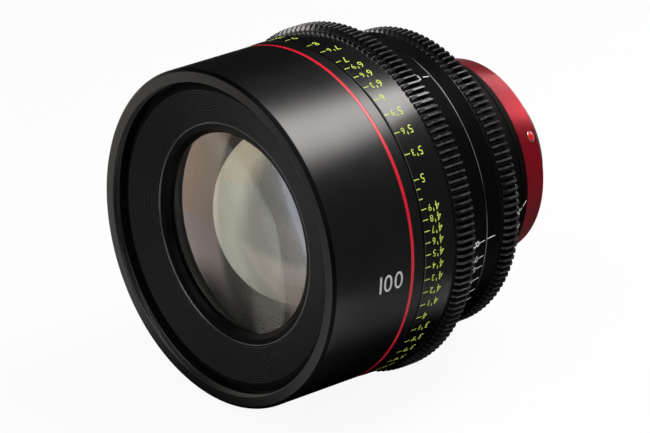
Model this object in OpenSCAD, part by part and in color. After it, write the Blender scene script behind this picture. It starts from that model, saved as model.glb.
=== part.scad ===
// Cinema prime lens with geared focus and iris rings, an eleven-blade iris,
// an inner focusing cell moved by a cam sleeve, and a three-lug bayonet mount.
// Every piece is drawn in the lens's own frame: z runs forward from the mount flange,
// x is right and y is up as seen from the front. lens_frame() lays z along -Y, with +Z up.

/* [Front barrel] */
// Outside diameter of the front barrel
front_d = 114; // [112:0.5:118]
// Length of the front barrel, accent ring to front rim
front_len = 33.1; // [31:0.1:40]
// Wall of the front barrel behind the filter thread
front_wall = 3; // [2:0.5:4]
// Thickness of the front rim outside the filter thread
rim_wall = 4.5; // [4:0.25:5]
// Length of that thread
thread_len = 2.3; // [2:0.1:2.4]
// Depth from the front rim to the outer edge of the light baffle
filter_depth = 5.8; // [5:0.1:7]
// Bevel on the outer edge of the front rim
rim_bevel = 0.9; // [0.3:0.1:1.2]
// Thickness of the wall at the back of the front barrel
partition_t = 4; // [3:0.5:6]
// Width of the coloured accent ring
accent_w = 1.2; // [0.8:0.1:2]
// Depth of the accent ring below the barrel's surface
accent_depth = 2.5; // [1.5:0.1:3]
// Length of the fixed collar between accent ring and focus ring
front_collar_len = 4.4; // [4:0.1:8]

/* [Light baffle] */
// Width of the bevel from the baffle's rim up to its raised front lip
baffle_bevel_w = 3.5; // [2.5:0.1:5]
// Depth of that lip below the front rim
baffle_lip_depth = 3.7; // [3:0.1:4.5]
// Diameter of the hole in the middle of the baffle
baffle_hole_d = 75.6; // [75:0.1:80]
// Depth of the edge of that hole below the front rim
baffle_hole_depth = 6.7; // [6.2:0.1:7]
// Thickness of the baffle's plate
baffle_t = 1.6; // [1:0.1:1.8]
// Number of light-trapping ribs on the baffle
baffle_ribs = 20; // [10:1:24]
// Depth of the grooves between the ribs
rib_depth = 0.35; // [0.2:0.05:0.5]

/* [Front glass] */
// Diameter of the front glass that shows inside its retainer
glass_view_d = 67.4; // [64:0.2:69]
// Depth of the edge of that glass below the front rim
glass_depth = 9; // [8.6:0.1:10]
// Width of the glass that the retainer covers
glass_rim = 2.7; // [2:0.1:2.9]
// Radius of curvature of the front surface
front_curve = 95; // [90:1:140]
// Edge thickness of the front element
front_edge_t = 3; // [2:0.1:4]
// Length of the spacer between the two front elements
front_spacer_len = 12; // [11.5:0.1:13]
// Edge thickness of the second element
second_edge_t = 4; // [3:0.1:5]

/* [Gears] */
// Module of the gear teeth on both rings
gear_module = 0.8; // [0.78:0.01:0.84]
// Number of teeth on the focus ring
focus_teeth = 146; // [145:1:150]
// Number of teeth on the iris ring
iris_teeth = 126; // [125:1:130]
// Length of the lead-in bevel at the front of the teeth
tooth_lead = 1.6; // [0.8:0.1:2.2]
// Height of that bevel
tooth_lead_h = 1.3; // [0.6:0.1:1.6]

/* [Focus ring] */
// Length of the scale band in front of the focus teeth
focus_scale_len = 13.4; // [12.5:0.1:18]
// Height of the scale band above the front barrel
focus_scale_step = 0.2; // [0:0.1:0.4]
// Length of the focus teeth
focus_gear_len = 7.6; // [6.5:0.1:10]
// Length of the sloping scale band behind the focus teeth
focus_rear_len = 10.9; // [9.5:0.1:14]
// Diameter of the front end of that band
focus_rear_d1 = 108.6; // [106:0.2:112]
// Diameter of its rear end
focus_rear_d0 = 104.6; // [104:0.2:106]
// Bevel on the focus ring's rear edge
focus_edge_bevel = 0.7; // [0.3:0.1:1]
// Wall of the focus ring at its rear end
focus_rear_wall = 2.1; // [1.6:0.1:2.6]
// Wall of the focus ring under its front scale band
focus_front_wall = 3.25; // [2.5:0.05:3.6]
// Turn of the focus ring from infinity to its nearest distance, in degrees
focus_throw = 300; // [240:5:320]

/* [Focus cell] */
// Outside diameter of the focusing cell
focus_cell_d = 77.7; // [76:0.1:78.5]
// Length of the focusing cell
focus_cell_len = 15; // [14.5:0.1:15.5]
// Travel of the focusing cell over the whole throw
focus_travel = 15; // [13:0.5:16]
// Diameter of the cam follower rollers
follower_d = 4; // [3:0.1:4.4]
// Number of cam followers
follower_count = 3; // [2:1:3]
// Wall of the fixed guide tube
guide_wall = 2.5; // [2:0.1:2.6]
// Wall of the rotating cam sleeve
cam_wall = 2.6; // [2:0.1:3]
// Diameter of the focusing glass
focus_glass_d = 66; // [62:0.5:67]

/* [Index barrel] */
// Length of the fixed barrel between the focus and iris rings
index_len = 7.7; // [7:0.1:12]
// Diameter of its front end
index_d1 = 104; // [103:0.2:106]
// Diameter of its rear end
index_d0 = 102; // [100:0.2:103]
// Thickness of its inner flange
index_flange_t = 3.5; // [2.5:0.1:4]

/* [Iris ring] */
// Length of the plain lip in front of the iris teeth
iris_lip_len = 1.6; // [1.6:0.1:4]
// Length of the iris teeth
iris_gear_len = 6.6; // [6:0.1:9]
// Length of the sloping scale band behind the iris teeth
iris_cone_len = 10.8; // [10.4:0.1:14]
// Diameter of the front end of that band
iris_cone_d1 = 94.6; // [94:0.2:97]
// Diameter of its rear end
iris_cone_d0 = 81.6; // [81:0.2:84]
// Turn of the iris ring from wide open to stopped down, in degrees
iris_throw = 60; // [50:1:64]

/* [Iris] */
// Clear diameter of the open iris
aperture_d = 42; // [38:0.5:43]
// Number of iris blades
blade_count = 11; // [9:1:11]
// Width of a blade
blade_w = 9; // [7:0.5:9.4]
// Thickness of a blade
blade_t = 0.2; // [0.1:0.02:0.24]
// Distance from one blade's layer to the next
blade_pitch = 0.34; // [0.3:0.01:0.36]
// Angle that a blade spans around the axis, in degrees
blade_span = 80; // [60:1:90]
// Swing of a blade about its pivot over the iris throw, in degrees
blade_swing = 32; // [28:1:33]
// Radius of the circle of blade pivots
pivot_circle_r = 32.6; // [32.4:0.1:33.2]
// Length of a blade's lever, pivot to drive pin
lever_len = 8; // [7.4:0.1:8.4]
// Direction of that lever at rest, in degrees from the outward radius
lever_angle = 52; // [48:1:54]
// Diameter of the pins on a blade
blade_pin_d = 1.6; // [1.2:0.05:1.7]
// Diameter of the chamber that holds the iris
chamber_d = 84; // [83:0.1:84.6]

/* [Rear barrel] */
// Length of the fixed cone behind the iris ring
rear_cone_len = 5.7; // [5:0.1:8]
// Diameter of the front end of that cone
rear_cone_d1 = 80.8; // [80:0.2:83]
// Diameter of its rear end
rear_cone_d0 = 73.8; // [73:0.2:76]
// Diameter of the journal that the iris ring's rear land turns on
iris_journal_d = 76; // [74:0.2:77]
// Bore for the rear glass cell
rear_cell_d = 62; // [60:0.2:64]
// Bore of the coloured mount collar
collar_bore_d = 63; // [60:0.2:64]
// Length of the coloured mount collar
collar_len = 10.6; // [10:0.1:14]
// Diameter of the collar's front end
collar_d1 = 73; // [72:0.2:73.6]
// Diameter of the collar's rear end
collar_d0 = 67.4; // [66.8:0.2:69.4]

/* [Mount] */
// Thickness of the bayonet's flange
flange_t = 1.1; // [1:0.1:2]
// Diameter of the flange
flange_d = 65.2; // [64.8:0.1:66.4]
// Outside diameter of the bayonet's tube
bayonet_d = 51.4; // [50:0.1:52]
// Length of the bayonet's tube behind the flange
bayonet_len = 6.5; // [6:0.1:8]
// Diameter over the bayonet's lugs
lug_d = 53.9; // [53:0.1:54]
// Thickness of a lug
lug_t = 1.6; // [1.2:0.1:2]
// Distance from the flange's face to a lug
lug_gap = 2.4; // [2:0.1:2.6]
// Angle that a lug spans, in degrees
lug_span = 52; // [40:1:58]
// Diameter of the index bead on the collar
bead_d = 3.8; // [3:0.1:4.2]
// Distance of the bead in front of the flange's face
bead_place = 4.4; // [4:0.1:5]
// Direction of the bead, in degrees from +X towards +Z
bead_angle = 28; // [0:1:90]

/* [Fits] */
// Radial clearance of pieces that turn or slide on each other
run_clear = 0.06; // [0.03:0.01:0.1]
// Radial clearance of pieces that are seated in each other
seat_clear = 0.05; // [0.02:0.01:0.08]
// Gap that shows between a turning ring and a fixed one
seam = 0.3; // [0.2:0.05:0.6]

/* [Hidden] */
$fn = 180;

// Finishes
black_satin = [0.06, 0.06, 0.065];
black_matt = [0.03, 0.03, 0.03];
accent_red = [0.8, 0.05, 0.1];
collar_red = [0.5, 0.02, 0.08];
chrome = [0.75, 0.75, 0.77];
brass = [0.72, 0.58, 0.3];
steel = [0.55, 0.55, 0.57];
glass_tint = [0.75, 0.85, 0.8, 0.45];

// Places along the axis, forward from the flange's face
z_collar0 = flange_t;
z_collar1 = z_collar0 + collar_len;
z_rear1 = z_collar1 + rear_cone_len;
z_iris0 = z_rear1 + seam;
z_iris_gear0 = z_iris0 + iris_cone_len;
z_iris_gear1 = z_iris_gear0 + iris_gear_len;
z_iris1 = z_iris_gear1 + iris_lip_len;
z_index0 = z_iris1 + seam;
z_index1 = z_index0 + index_len;
z_focus0 = z_index1 + seam;
z_focus_gear0 = z_focus0 + focus_rear_len;
z_focus_gear1 = z_focus_gear0 + focus_gear_len;
z_focus1 = z_focus_gear1 + focus_scale_len;
z_front0 = z_focus1 + seam;
z_accent0 = z_front0 + front_collar_len;
z_accent1 = z_accent0 + accent_w;
z_partition = z_accent1 + partition_t;
z_rim = z_accent1 + front_len;

// Outer radii
front_r = front_d / 2;
focus_scale_r = front_r + focus_scale_step;
focus_tip_r = gear_module * (focus_teeth + 2) / 2;
iris_tip_r = gear_module * (iris_teeth + 2) / 2;
tooth_depth = 2.25 * gear_module;
iris_lip_r = iris_tip_r - tooth_depth - 0.1;
edge_bevel = 0.25;

// Screws
screw_r = 0.8;
screw_head_r = 1.5;
screw_head_h = 1.2;
screw_hole_r = screw_r + seat_clear;

// Front group: the glass is seated against its retainer, the spacer and the cell's shoulder
filter_r = front_r - rim_wall;
thread_lead = 0.25;
thread_relief = 0.8;
baffle_rim_t = 1.6;
baffle_seat_w = 1.9;
baffle_seat_r = filter_r - baffle_seat_w;
z_baffle_rim = z_rim - filter_depth;
z_baffle_seat = z_baffle_rim - baffle_rim_t;
ledge_t = 3;
ledge_slope = 3;
front_inner_r = front_r - front_wall;
glass_view_r = glass_view_d / 2;
front_glass_r = glass_view_r + glass_rim;
front_bore_r = front_glass_r + seat_clear;
z_glass_view = z_rim - glass_depth;
z_front_vertex = z_glass_view + sag(front_curve, glass_view_r);
z_front_edge1 = z_front_vertex - sag(front_curve, front_glass_r);
z_front_edge0 = z_front_edge1 - front_edge_t;
front_back_curve = 300;
z_second_edge1 = z_front_edge0 - front_spacer_len;
z_second_edge0 = z_second_edge1 - second_edge_t;
second_curve = 75;
second_back_curve = 220;
spacer_wall = 2.4;
retainer_r = front_glass_r + 1.2;
retainer_lip_r = glass_view_r + 1.6;
retainer_lip_depth = glass_depth - 1.6;
retainer_rim_depth = retainer_lip_depth - 0.5;
cell_lip_w = 3;
cell_lip_t = 2.5;
cell_wall = 1.85;
front_cell_r = retainer_r + seat_clear + cell_wall;
front_cell_neck_r = front_cell_r + 1.45;
front_cell_flange_r = front_cell_neck_r + 4.5;
cell_flange_t = 2.5;
z_front_cell0 = z_second_edge0 - cell_lip_t;
z_front_cell1 = z_rim - baffle_hole_depth - baffle_t - seam;
partition_bore_r = front_cell_neck_r + seat_clear;
front_screw_inset = 4.8;
front_screw_circle = front_inner_r - front_screw_inset;
front_screw_angle = 30;
front_screw_len = 8;
front_screw_count = 6;

// Focus mechanism: cell, guide tube, cam sleeve and ring, from the axis outwards
focus_cell_r = focus_cell_d / 2;
guide_bore_r = focus_cell_r + run_clear;
guide_r = guide_bore_r + guide_wall;
cam_bore_r = guide_r + run_clear;
cam_r = cam_bore_r + cam_wall;
follower_r = follower_d / 2;
follower_tip_r = cam_r - 0.25;
follower_root_r = focus_cell_r - 3.2;
follower_end_gap = 0.25;
cam_side_clear = 0.08;
z_focus_shoulder = z_focus_gear1 - 1;
cam_flange_t = 2.5;
z_follower = z_focus1 - 4;
z_follower_near = z_follower - focus_travel;
cam_end_wall = 1.4;
z_cam0 = z_follower_near - follower_r - follower_end_gap - cam_end_wall;
z_cam1 = z_follower + follower_r + follower_end_gap + cam_end_wall;
focus_rear_r0 = focus_rear_d0 / 2;
focus_rear_bore_r = focus_rear_r0 - focus_rear_wall;
focus_front_bore_r = focus_scale_r - focus_front_wall;
cam_flange_r = focus_front_bore_r - seat_clear;
cam_screw_circle = focus_rear_bore_r + screw_head_r + 0.3;
cam_screw_len = 7;
cam_screw_count = 6;
cam_screw_angle = 15;
follower_angle = 90;
bush_wall = 1.2;
bush_inset = 0.7;
front_spigot_len = 9.6;
rear_spigot_len = 6;
spigot_wall = 2.2;
front_bush_r = focus_front_bore_r - run_clear;
front_spigot_r = front_bush_r - bush_wall - seat_clear;
rear_bush_r = focus_rear_bore_r - run_clear;
rear_spigot_r = rear_bush_r - bush_wall - seat_clear;
focus_glass_r = focus_glass_d / 2;
focus_glass_bore_r = focus_glass_r + seat_clear;
focus_lip_t = 2;
z_focus_cell0 = z_follower - 8.5;
z_focus_cell1 = z_focus_cell0 + focus_cell_len;
focus_a_edge_t = 6;
focus_a_curve = 120;
focus_spacer_len = 1.5;
focus_b_edge_t = 2.5;
focus_b_curve = 150;
z_focus_a0 = z_focus_cell0 + focus_lip_t;
z_focus_a1 = z_focus_a0 + focus_a_edge_t;
z_focus_b0 = z_focus_a1 + focus_spacer_len;
z_focus_b1 = z_focus_b0 + focus_b_edge_t;
focus_retainer_r = focus_glass_r + 1.9;
focus_lip_w = 2.5;

// Fixed barrel between the rings
index_r1 = index_d1 / 2;
index_r0 = index_d0 / 2;
index_wall = 2.2;
guide_flange_t = 2;
guide_flange_w = 4;
z_guide0 = z_index0 + index_flange_t;
index_screw_len = 10;
index_screw_count = 4;
index_screw_angle = 5;

// Iris: base plate, blade layers and cam ring, from the rear forwards in the chamber
chamber_r = chamber_d / 2;
housing_wall = 2.4;
housing_r = chamber_r + housing_wall;
iris_base_t = 1.2;
cam_plate_t = 1.4;
cam_rim_t = 2.2;
iris_gap = 0.1;
cam_ring_gap = 0.4;
z_cam_ring1 = z_index0 - cam_ring_gap;
z_cam_ring0 = z_cam_ring1 - cam_rim_t;
z_blades0 = z_cam_ring0 - 2 * iris_gap - blade_count * blade_pitch;
z_chamber0 = z_blades0 - iris_gap - iris_base_t;
iris_cam_r = chamber_r - run_clear;
iris_cam_rim_w = 1.9;
iris_cam_hole_r = aperture_d / 2 + 2;
aperture_r = aperture_d / 2;
blade_in_r = aperture_r + 0.3;
blade_out_r = blade_in_r + blade_w;
blade_pin_r = blade_pin_d / 2;
blade_ear_w = 1.1;
blade_ear_r = blade_pin_r + blade_ear_w;
lever_w = 2.2;
leaf_start = -3;
pivot_clear = 0.04;
blade_ratio = blade_swing / iris_throw;
slot_steps = 16;
iris_pin_r = 0.8;
iris_pin_len = 7.2;
iris_pin_angle = 200;
iris_pin_in_r = iris_cam_r - 1.6;
z_iris_pin = z_cam_ring1 - cam_rim_t / 2;
housing_slot_end = 1.5;

// Iris ring's inside, which clears the flare of the rear barrel
iris_journal_r = iris_journal_d / 2;
iris_land_len = 3;
iris_bore_r = housing_r + 0.8;
iris_front_land_r = housing_r + run_clear;
iris_front_land_len = 3.4;
z_flare0 = z_iris0 + iris_land_len + 1.8;
z_flare1 = z_chamber0 + 0.5;

// Rear barrel, rear glass cell and mount
rear_cell_bore_r = rear_cell_d / 2;
rear_cell_r = rear_cell_bore_r - seat_clear;
rear_cell_flange_w = 3;
rear_cell_flange_t = 3.4;
z_rear_shoulder = z_chamber0 - 4;
rear_a_r = 24;
rear_b_r = 22;
rear_lip_w = 2.5;
rear_lip_t = 2;
rear_a_edge_t = 4;
rear_b_edge_t = 4;
rear_a_curve = 70;
rear_b_curve = 90;
rear_ring_wall = 2.2;
z_rear_cell0 = z_collar0 + 5.4;
z_rear_cell1 = z_rear_shoulder + rear_cell_flange_t;
rear_retainer_t = 2.2;
z_rear_a1 = z_rear_cell1 - rear_retainer_t;
z_rear_a0 = z_rear_a1 - rear_a_edge_t;
z_rear_lip0 = z_rear_a0 - rear_lip_t;
z_rear_b1 = z_rear_cell0 + rear_retainer_t + rear_b_edge_t;
z_rear_b0 = z_rear_cell0 + rear_retainer_t;
collar_bore_r = collar_bore_d / 2;
rear_tail_gap = 0.5;
rear_tail_r = collar_bore_r - rear_tail_gap;
collar_boss_t = 4.9;
collar_boss_r = 28;
spigot_r = collar_boss_r - seat_clear;
spigot_wall_t = 2;
spigot_len = 3;
bayonet_r = bayonet_d / 2;
bayonet_wall = 2.1;
seat_relief = 0.3;
mask_seat_w = 1.2;
mask_t = 1.2;
mask_inset = 1.3;
mask_window = [34, 24];
lug_count = 3;
lug_angle0 = 40;
lock_hole_r = 1.5;
lock_hole_depth = 0.8;
lock_hole_angle = 118;
mount_screw_circle = 30.2;
mount_screw_len = 5;
mount_screw_count = 4;
mount_screw_angle = 45;
head_cone_h = 0.9;
bead_depth = 2;
bead_proud = 0.5;

// Depth of a spherical surface at distance r from its axis
function sag(curve, r) = curve - sqrt(curve * curve - r * r);

function polar(r, angle) = [r * cos(angle), r * sin(angle)];

function blade_name(i) = str("iris_blade_", i < 10 ? "0" : "", i);

function spread(count, i) = 360 * i / count;

// Height of the baffle's ribbed slope at radius r
function baffle_slope(r) = let (
        lip_r = filter_r - baffle_bevel_w,
        hole_r = baffle_hole_d / 2,
        share = (lip_r - r) / (lip_r - hole_r))
    z_rim - baffle_lip_depth - share * (baffle_hole_depth - baffle_lip_depth);

// Place of a blade's drive pin when the blade has swung by the angle swing
function drive_pin_at(swing) = [pivot_circle_r, 0] + polar(lever_len, lever_angle + swing);

// The same place as seen from the cam ring, which has turned by the angle turn
function drive_pin_in_ring(turn) = let (p = drive_pin_at(turn * blade_ratio))
    polar(norm(p), atan2(p[1], p[0]) - turn);

module lens_frame() {
    rotate([90, 0, 0]) children();
}

module turned(profile) {
    rotate_extrude() polygon(profile);
}

module tube(z0, z1, r_out, r_in) {
    turned([[r_in, z0], [r_out, z0], [r_out, z1], [r_in, z1]]);
}

module disc(z0, z1, r) {
    translate([0, 0, z0]) cylinder(h = z1 - z0, r = r);
}

module around(count, start = 0) {
    for (i = [0:count - 1]) rotate([0, 0, start + spread(count, i)]) children();
}

// Part of a ring between two angles
module ring_sector(z0, z1, r_out, r_in, start, span) {
    rotate([0, 0, start])
        rotate_extrude(angle = span) polygon([[r_in, z0], [r_out, z0], [r_out, z1], [r_in, z1]]);
}

// Round bar along a radius at the given angle and height
module radial_bar(angle, z, r, r_in, r_out) {
    rotate([0, 0, angle]) translate([r_in, 0, z]) rotate([0, 90, 0]) cylinder(h = r_out - r_in, r = r);
}

// Gaps between the teeth of a gear, as one cutter over its length
module tooth_gaps(teeth, tip_r, z0, z1) {
    pitch_r = gear_module * teeth / 2;
    root_r = tip_r - tooth_depth;
    over_r = tip_r + gear_module;
    half_pitch = 0.5 * PI * gear_module;
    flank = tan(20);
    root_half = (half_pitch - 2 * (pitch_r - root_r) * flank) / 2;
    over_half = (half_pitch + 2 * (over_r - pitch_r) * flank) / 2;
    end_gap = 0.05;
    translate([0, 0, z0 - end_gap])
        linear_extrude(height = z1 - z0 + 2 * end_gap)
            for (i = [0:teeth - 1])
                rotate(spread(teeth, i))
                    polygon([[root_r, -root_half], [over_r, -over_half], [over_r, over_half], [root_r, root_half]]);
}

// Cap screw whose head sits under the face z_top, shank towards the rear
module cap_screw(z_top, length, grow = 0) {
    disc(z_top - screw_head_h, z_top, screw_head_r + grow);
    disc(z_top - length, z_top - screw_head_h, screw_r + grow);
}

// Round block of glass with a flat back and a convex front
module lens_glass(z_edge0, z_edge1, r, curve) {
    z_vertex = z_edge1 + sag(curve, r);
    intersection() {
        disc(z_edge0, z_vertex + 1, r);
        translate([0, 0, z_vertex - curve]) sphere(r = curve);
    }
}

module front_screw_places() {
    around(front_screw_count, front_screw_angle) translate([front_screw_circle, 0, 0]) children();
}

module front_barrel() {
    color(black_satin) lens_frame() difference() {
        turned([
            [partition_bore_r, z_accent1],
            [front_r, z_accent1],
            [front_r, z_rim - rim_bevel],
            [front_r - rim_bevel, z_rim],
            [filter_r + thread_lead, z_rim],
            [filter_r, z_rim - thread_lead],
            [filter_r, z_rim - thread_lead - thread_len],
            [filter_r + thread_relief, z_rim - thread_lead - thread_len - thread_relief],
            [filter_r + thread_relief, z_baffle_seat],
            [baffle_seat_r, z_baffle_seat],
            [baffle_seat_r, z_baffle_seat - ledge_t],
            [front_inner_r, z_baffle_seat - ledge_t - ledge_slope],
            [front_inner_r, z_partition],
            [partition_bore_r, z_partition]]);
        front_screw_places() cap_screw(z_partition, front_screw_len, seat_clear);
    }
}

module accent_ring() {
    color(accent_red) lens_frame() tube(z_accent0, z_accent1, front_r, front_r - accent_depth);
}

// Carries the accent ring outside and the front bush of the focus ring on its rear spigot
module front_collar() {
    accent_seat_r = front_r - accent_depth - seat_clear;
    bore_r = guide_r + seat_clear;
    spigot_in_r = front_spigot_r - spigot_wall;
    color(black_satin) lens_frame() difference() {
        turned([
            [bore_r, z_front0],
            [spigot_in_r, z_front0],
            [spigot_in_r, z_front0 - front_spigot_len],
            [front_spigot_r, z_front0 - front_spigot_len],
            [front_spigot_r, z_front0],
            [front_r - edge_bevel, z_front0],
            [front_r, z_front0 + edge_bevel],
            [front_r, z_accent0],
            [accent_seat_r, z_accent0],
            [accent_seat_r, z_accent1],
            [bore_r, z_accent1]]);
        front_screw_places() cap_screw(z_partition, front_screw_len, seat_clear);
    }
}

module front_screws() {
    color(steel) lens_frame() front_screw_places() cap_screw(z_partition, front_screw_len);
}

module light_baffle() {
    lip_r = filter_r - baffle_bevel_w;
    hole_r = baffle_hole_d / 2;
    rib_pitch = (lip_r - hole_r) / (baffle_ribs + 0.5);
    z_hole = z_rim - baffle_hole_depth;
    ribs = [for (i = [0:baffle_ribs - 1]) each [
        [lip_r - i * rib_pitch, baffle_slope(lip_r - i * rib_pitch)],
        [lip_r - (i + 0.35) * rib_pitch, baffle_slope(lip_r - (i + 0.35) * rib_pitch)],
        [lip_r - (i + 0.7) * rib_pitch, baffle_slope(lip_r - (i + 0.7) * rib_pitch) - rib_depth]]];
    rim_r = filter_r - 4 * seat_clear;
    color(black_matt) lens_frame() turned(concat(
        [[rim_r, z_baffle_seat], [rim_r, z_baffle_rim]],
        ribs,
        [
            [lip_r - baffle_ribs * rib_pitch, baffle_slope(lip_r - baffle_ribs * rib_pitch)],
            [hole_r, z_hole],
            [hole_r, z_hole - baffle_t],
            [lip_r - 0.5, z_rim - baffle_lip_depth - baffle_t],
            [baffle_seat_r - 0.2, z_baffle_seat]]));
}

module front_retainer() {
    color(black_satin) lens_frame() turned([
        [glass_view_r, z_glass_view + seat_clear],
        [front_glass_r, z_front_edge1 + seat_clear],
        [retainer_r, z_front_edge1 + seat_clear],
        [retainer_r, z_rim - retainer_rim_depth],
        [retainer_lip_r, z_rim - retainer_lip_depth]]);
}

module front_element() {
    back_sag = sag(front_back_curve, front_glass_r);
    color(glass_tint) lens_frame() intersection() {
        lens_glass(z_front_edge0 - back_sag - 1, z_front_edge1, front_glass_r, front_curve);
        translate([0, 0, z_front_edge0 - back_sag + front_back_curve]) sphere(r = front_back_curve);
    }
}

module front_spacer() {
    in_r = front_glass_r - spacer_wall;
    rise = sag(second_curve, front_glass_r) - sag(second_curve, in_r);
    drop = sag(front_back_curve, front_glass_r) - sag(front_back_curve, in_r);
    color(black_matt) lens_frame() turned([
        [in_r, z_second_edge1 + rise + seat_clear],
        [front_glass_r, z_second_edge1 + seat_clear],
        [front_glass_r, z_front_edge0 - seat_clear],
        [in_r, z_front_edge0 - drop - seat_clear]]);
}

module second_element() {
    color(glass_tint) lens_frame() difference() {
        lens_glass(z_second_edge0, z_second_edge1, front_glass_r, second_curve);
        translate([0, 0, z_second_edge0 + sag(second_back_curve, front_glass_r - cell_lip_w) - second_back_curve])
            sphere(r = second_back_curve);
    }
}

module front_cell() {
    color(black_matt) lens_frame() turned([
        [front_glass_r - cell_lip_w, z_front_cell0],
        [front_cell_neck_r, z_front_cell0],
        [front_cell_neck_r, z_partition],
        [front_cell_flange_r, z_partition],
        [front_cell_flange_r, z_partition + cell_flange_t],
        [front_cell_r, z_partition + cell_flange_t],
        [front_cell_r, z_front_cell1],
        [retainer_r + seat_clear, z_front_cell1],
        [retainer_r + seat_clear, z_front_edge1],
        [front_bore_r, z_front_edge1],
        [front_bore_r, z_second_edge0],
        [front_glass_r - cell_lip_w, z_second_edge0]]);
}

// Fixed tube with a straight slot for each cam follower
module guide_tube() {
    slot_half = follower_r + run_clear;
    slot_z0 = z_follower_near - follower_r - follower_end_gap;
    slot_z1 = z_follower + follower_r + follower_end_gap;
    color(steel) lens_frame() difference() {
        turned([
            [guide_bore_r, z_guide0],
            [guide_r + guide_flange_w, z_guide0],
            [guide_r + guide_flange_w, z_guide0 + guide_flange_t],
            [guide_r, z_guide0 + guide_flange_t],
            [guide_r, z_accent1],
            [guide_bore_r, z_accent1]]);
        around(follower_count, follower_angle)
            translate([guide_bore_r - 1, -slot_half, slot_z0])
                cube([guide_wall + 2, 2 * slot_half, slot_z1 - slot_z0]);
        index_screw_places() cap_screw(z_guide0 + guide_flange_t, index_screw_len, seat_clear);
    }
}

module focus_ring() {
    color(black_satin) lens_frame() difference() {
        turned([
            [focus_rear_bore_r, z_focus0],
            [focus_rear_r0 - focus_edge_bevel, z_focus0],
            [focus_rear_r0, z_focus0 + focus_edge_bevel],
            [focus_rear_d1 / 2, z_focus_gear0],
            [focus_tip_r - gear_module, z_focus_gear0],
            [focus_tip_r, z_focus_gear0 + gear_module],
            [focus_tip_r, z_focus_gear1 - tooth_lead],
            [focus_tip_r - tooth_lead_h, z_focus_gear1],
            [focus_scale_r, z_focus_gear1],
            [focus_scale_r, z_focus1 - edge_bevel],
            [focus_scale_r - edge_bevel, z_focus1],
            [focus_front_bore_r, z_focus1],
            [focus_front_bore_r, z_focus_shoulder],
            [focus_rear_bore_r, z_focus_shoulder]]);
        tooth_gaps(focus_teeth, focus_tip_r, z_focus_gear0, z_focus_gear1);
        cam_screw_places() cap_screw(z_focus_shoulder + cam_flange_t, cam_screw_len, seat_clear);
    }
}

module cam_screw_places() {
    around(cam_screw_count, cam_screw_angle) translate([cam_screw_circle, 0, 0]) children();
}

// One helical slot: the follower's path as the sleeve turns under it
module cam_slot(start) {
    r_in = cam_bore_r - 0.6;
    r_out = cam_r + 0.4;
    lead_angle = atan(focus_travel / (PI * (cam_bore_r + cam_r) * focus_throw / 360));
    half = (follower_r + cam_side_clear) / cos(lead_angle);
    end_turn = (follower_r + follower_end_gap) / cam_bore_r * 180 / PI;
    steps = 64;
    turn_at = function(i) -end_turn + (focus_throw + 2 * end_turn) * i / steps;
    corners = [for (i = [0:steps]) let (
            turn = turn_at(i),
            z = z_follower - focus_travel * turn / focus_throw,
            c = cos(start - turn),
            s = sin(start - turn)) each [
        [r_in * c, r_in * s, z - half], [r_out * c, r_out * s, z - half],
        [r_out * c, r_out * s, z + half], [r_in * c, r_in * s, z + half]]];
    sides = [for (i = [0:steps - 1], k = [0:3]) let (
            a = 4 * i + k,
            b = 4 * i + (k + 1) % 4) each [[a, a + 4, b + 4], [a, b + 4, b]]];
    last = 4 * steps;
    ends = [[0, 1, 2], [0, 2, 3], [last, last + 2, last + 1], [last, last + 3, last + 2]];
    polyhedron(points = corners, faces = concat(sides, ends));
}

module cam_sleeve() {
    color(brass) lens_frame() difference() {
        turned([
            [cam_bore_r, z_cam0],
            [cam_r, z_cam0],
            [cam_r, z_focus_shoulder],
            [cam_flange_r, z_focus_shoulder],
            [cam_flange_r, z_focus_shoulder + cam_flange_t],
            [cam_r, z_focus_shoulder + cam_flange_t],
            [cam_r, z_cam1],
            [cam_bore_r, z_cam1]]);
        for (i = [0:follower_count - 1]) cam_slot(follower_angle + spread(follower_count, i));
        cam_screw_places() cap_screw(z_focus_shoulder + cam_flange_t, cam_screw_len, seat_clear);
    }
}

module cam_screws() {
    color(steel) lens_frame() cam_screw_places() cap_screw(z_focus_shoulder + cam_flange_t, cam_screw_len);
}

module focus_bush_front() {
    color(brass) lens_frame()
        tube(z_front0 - front_spigot_len + bush_inset, z_focus1 - bush_inset, front_bush_r, front_bush_r - bush_wall);
}

module focus_bush_rear() {
    color(brass) lens_frame()
        tube(z_focus0 + bush_inset, z_index1 + rear_spigot_len, rear_bush_r, rear_bush_r - bush_wall);
}

module focus_cell() {
    color(black_matt) lens_frame() difference() {
        turned([
            [focus_glass_r - focus_lip_w, z_focus_cell0],
            [focus_cell_r, z_focus_cell0],
            [focus_cell_r, z_focus_cell1],
            [focus_retainer_r + seat_clear, z_focus_cell1],
            [focus_retainer_r + seat_clear, z_focus_b1],
            [focus_glass_bore_r, z_focus_b1],
            [focus_glass_bore_r, z_focus_a0],
            [focus_glass_r - focus_lip_w, z_focus_a0]]);
        around(follower_count, follower_angle) radial_bar(0, z_follower, follower_r, follower_root_r, focus_cell_r + 1);
    }
}

module cam_followers() {
    color(brass) lens_frame()
        around(follower_count, follower_angle) radial_bar(0, z_follower, follower_r, follower_root_r, follower_tip_r);
}

// Diverging glass: flat back, hollow front
module focus_element_a() {
    color(glass_tint) lens_frame() difference() {
        disc(z_focus_a0, z_focus_a1, focus_glass_r);
        translate([0, 0, z_focus_a1 - sag(focus_a_curve, focus_glass_r - spacer_wall) + focus_a_curve])
            sphere(r = focus_a_curve);
    }
}

module focus_spacer() {
    color(black_matt) lens_frame() tube(z_focus_a1, z_focus_b0, focus_glass_r, focus_glass_r - spacer_wall + 0.2);
}

module focus_element_b() {
    color(glass_tint) lens_frame() lens_glass(z_focus_b0, z_focus_b1, focus_glass_r, focus_b_curve);
}

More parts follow.
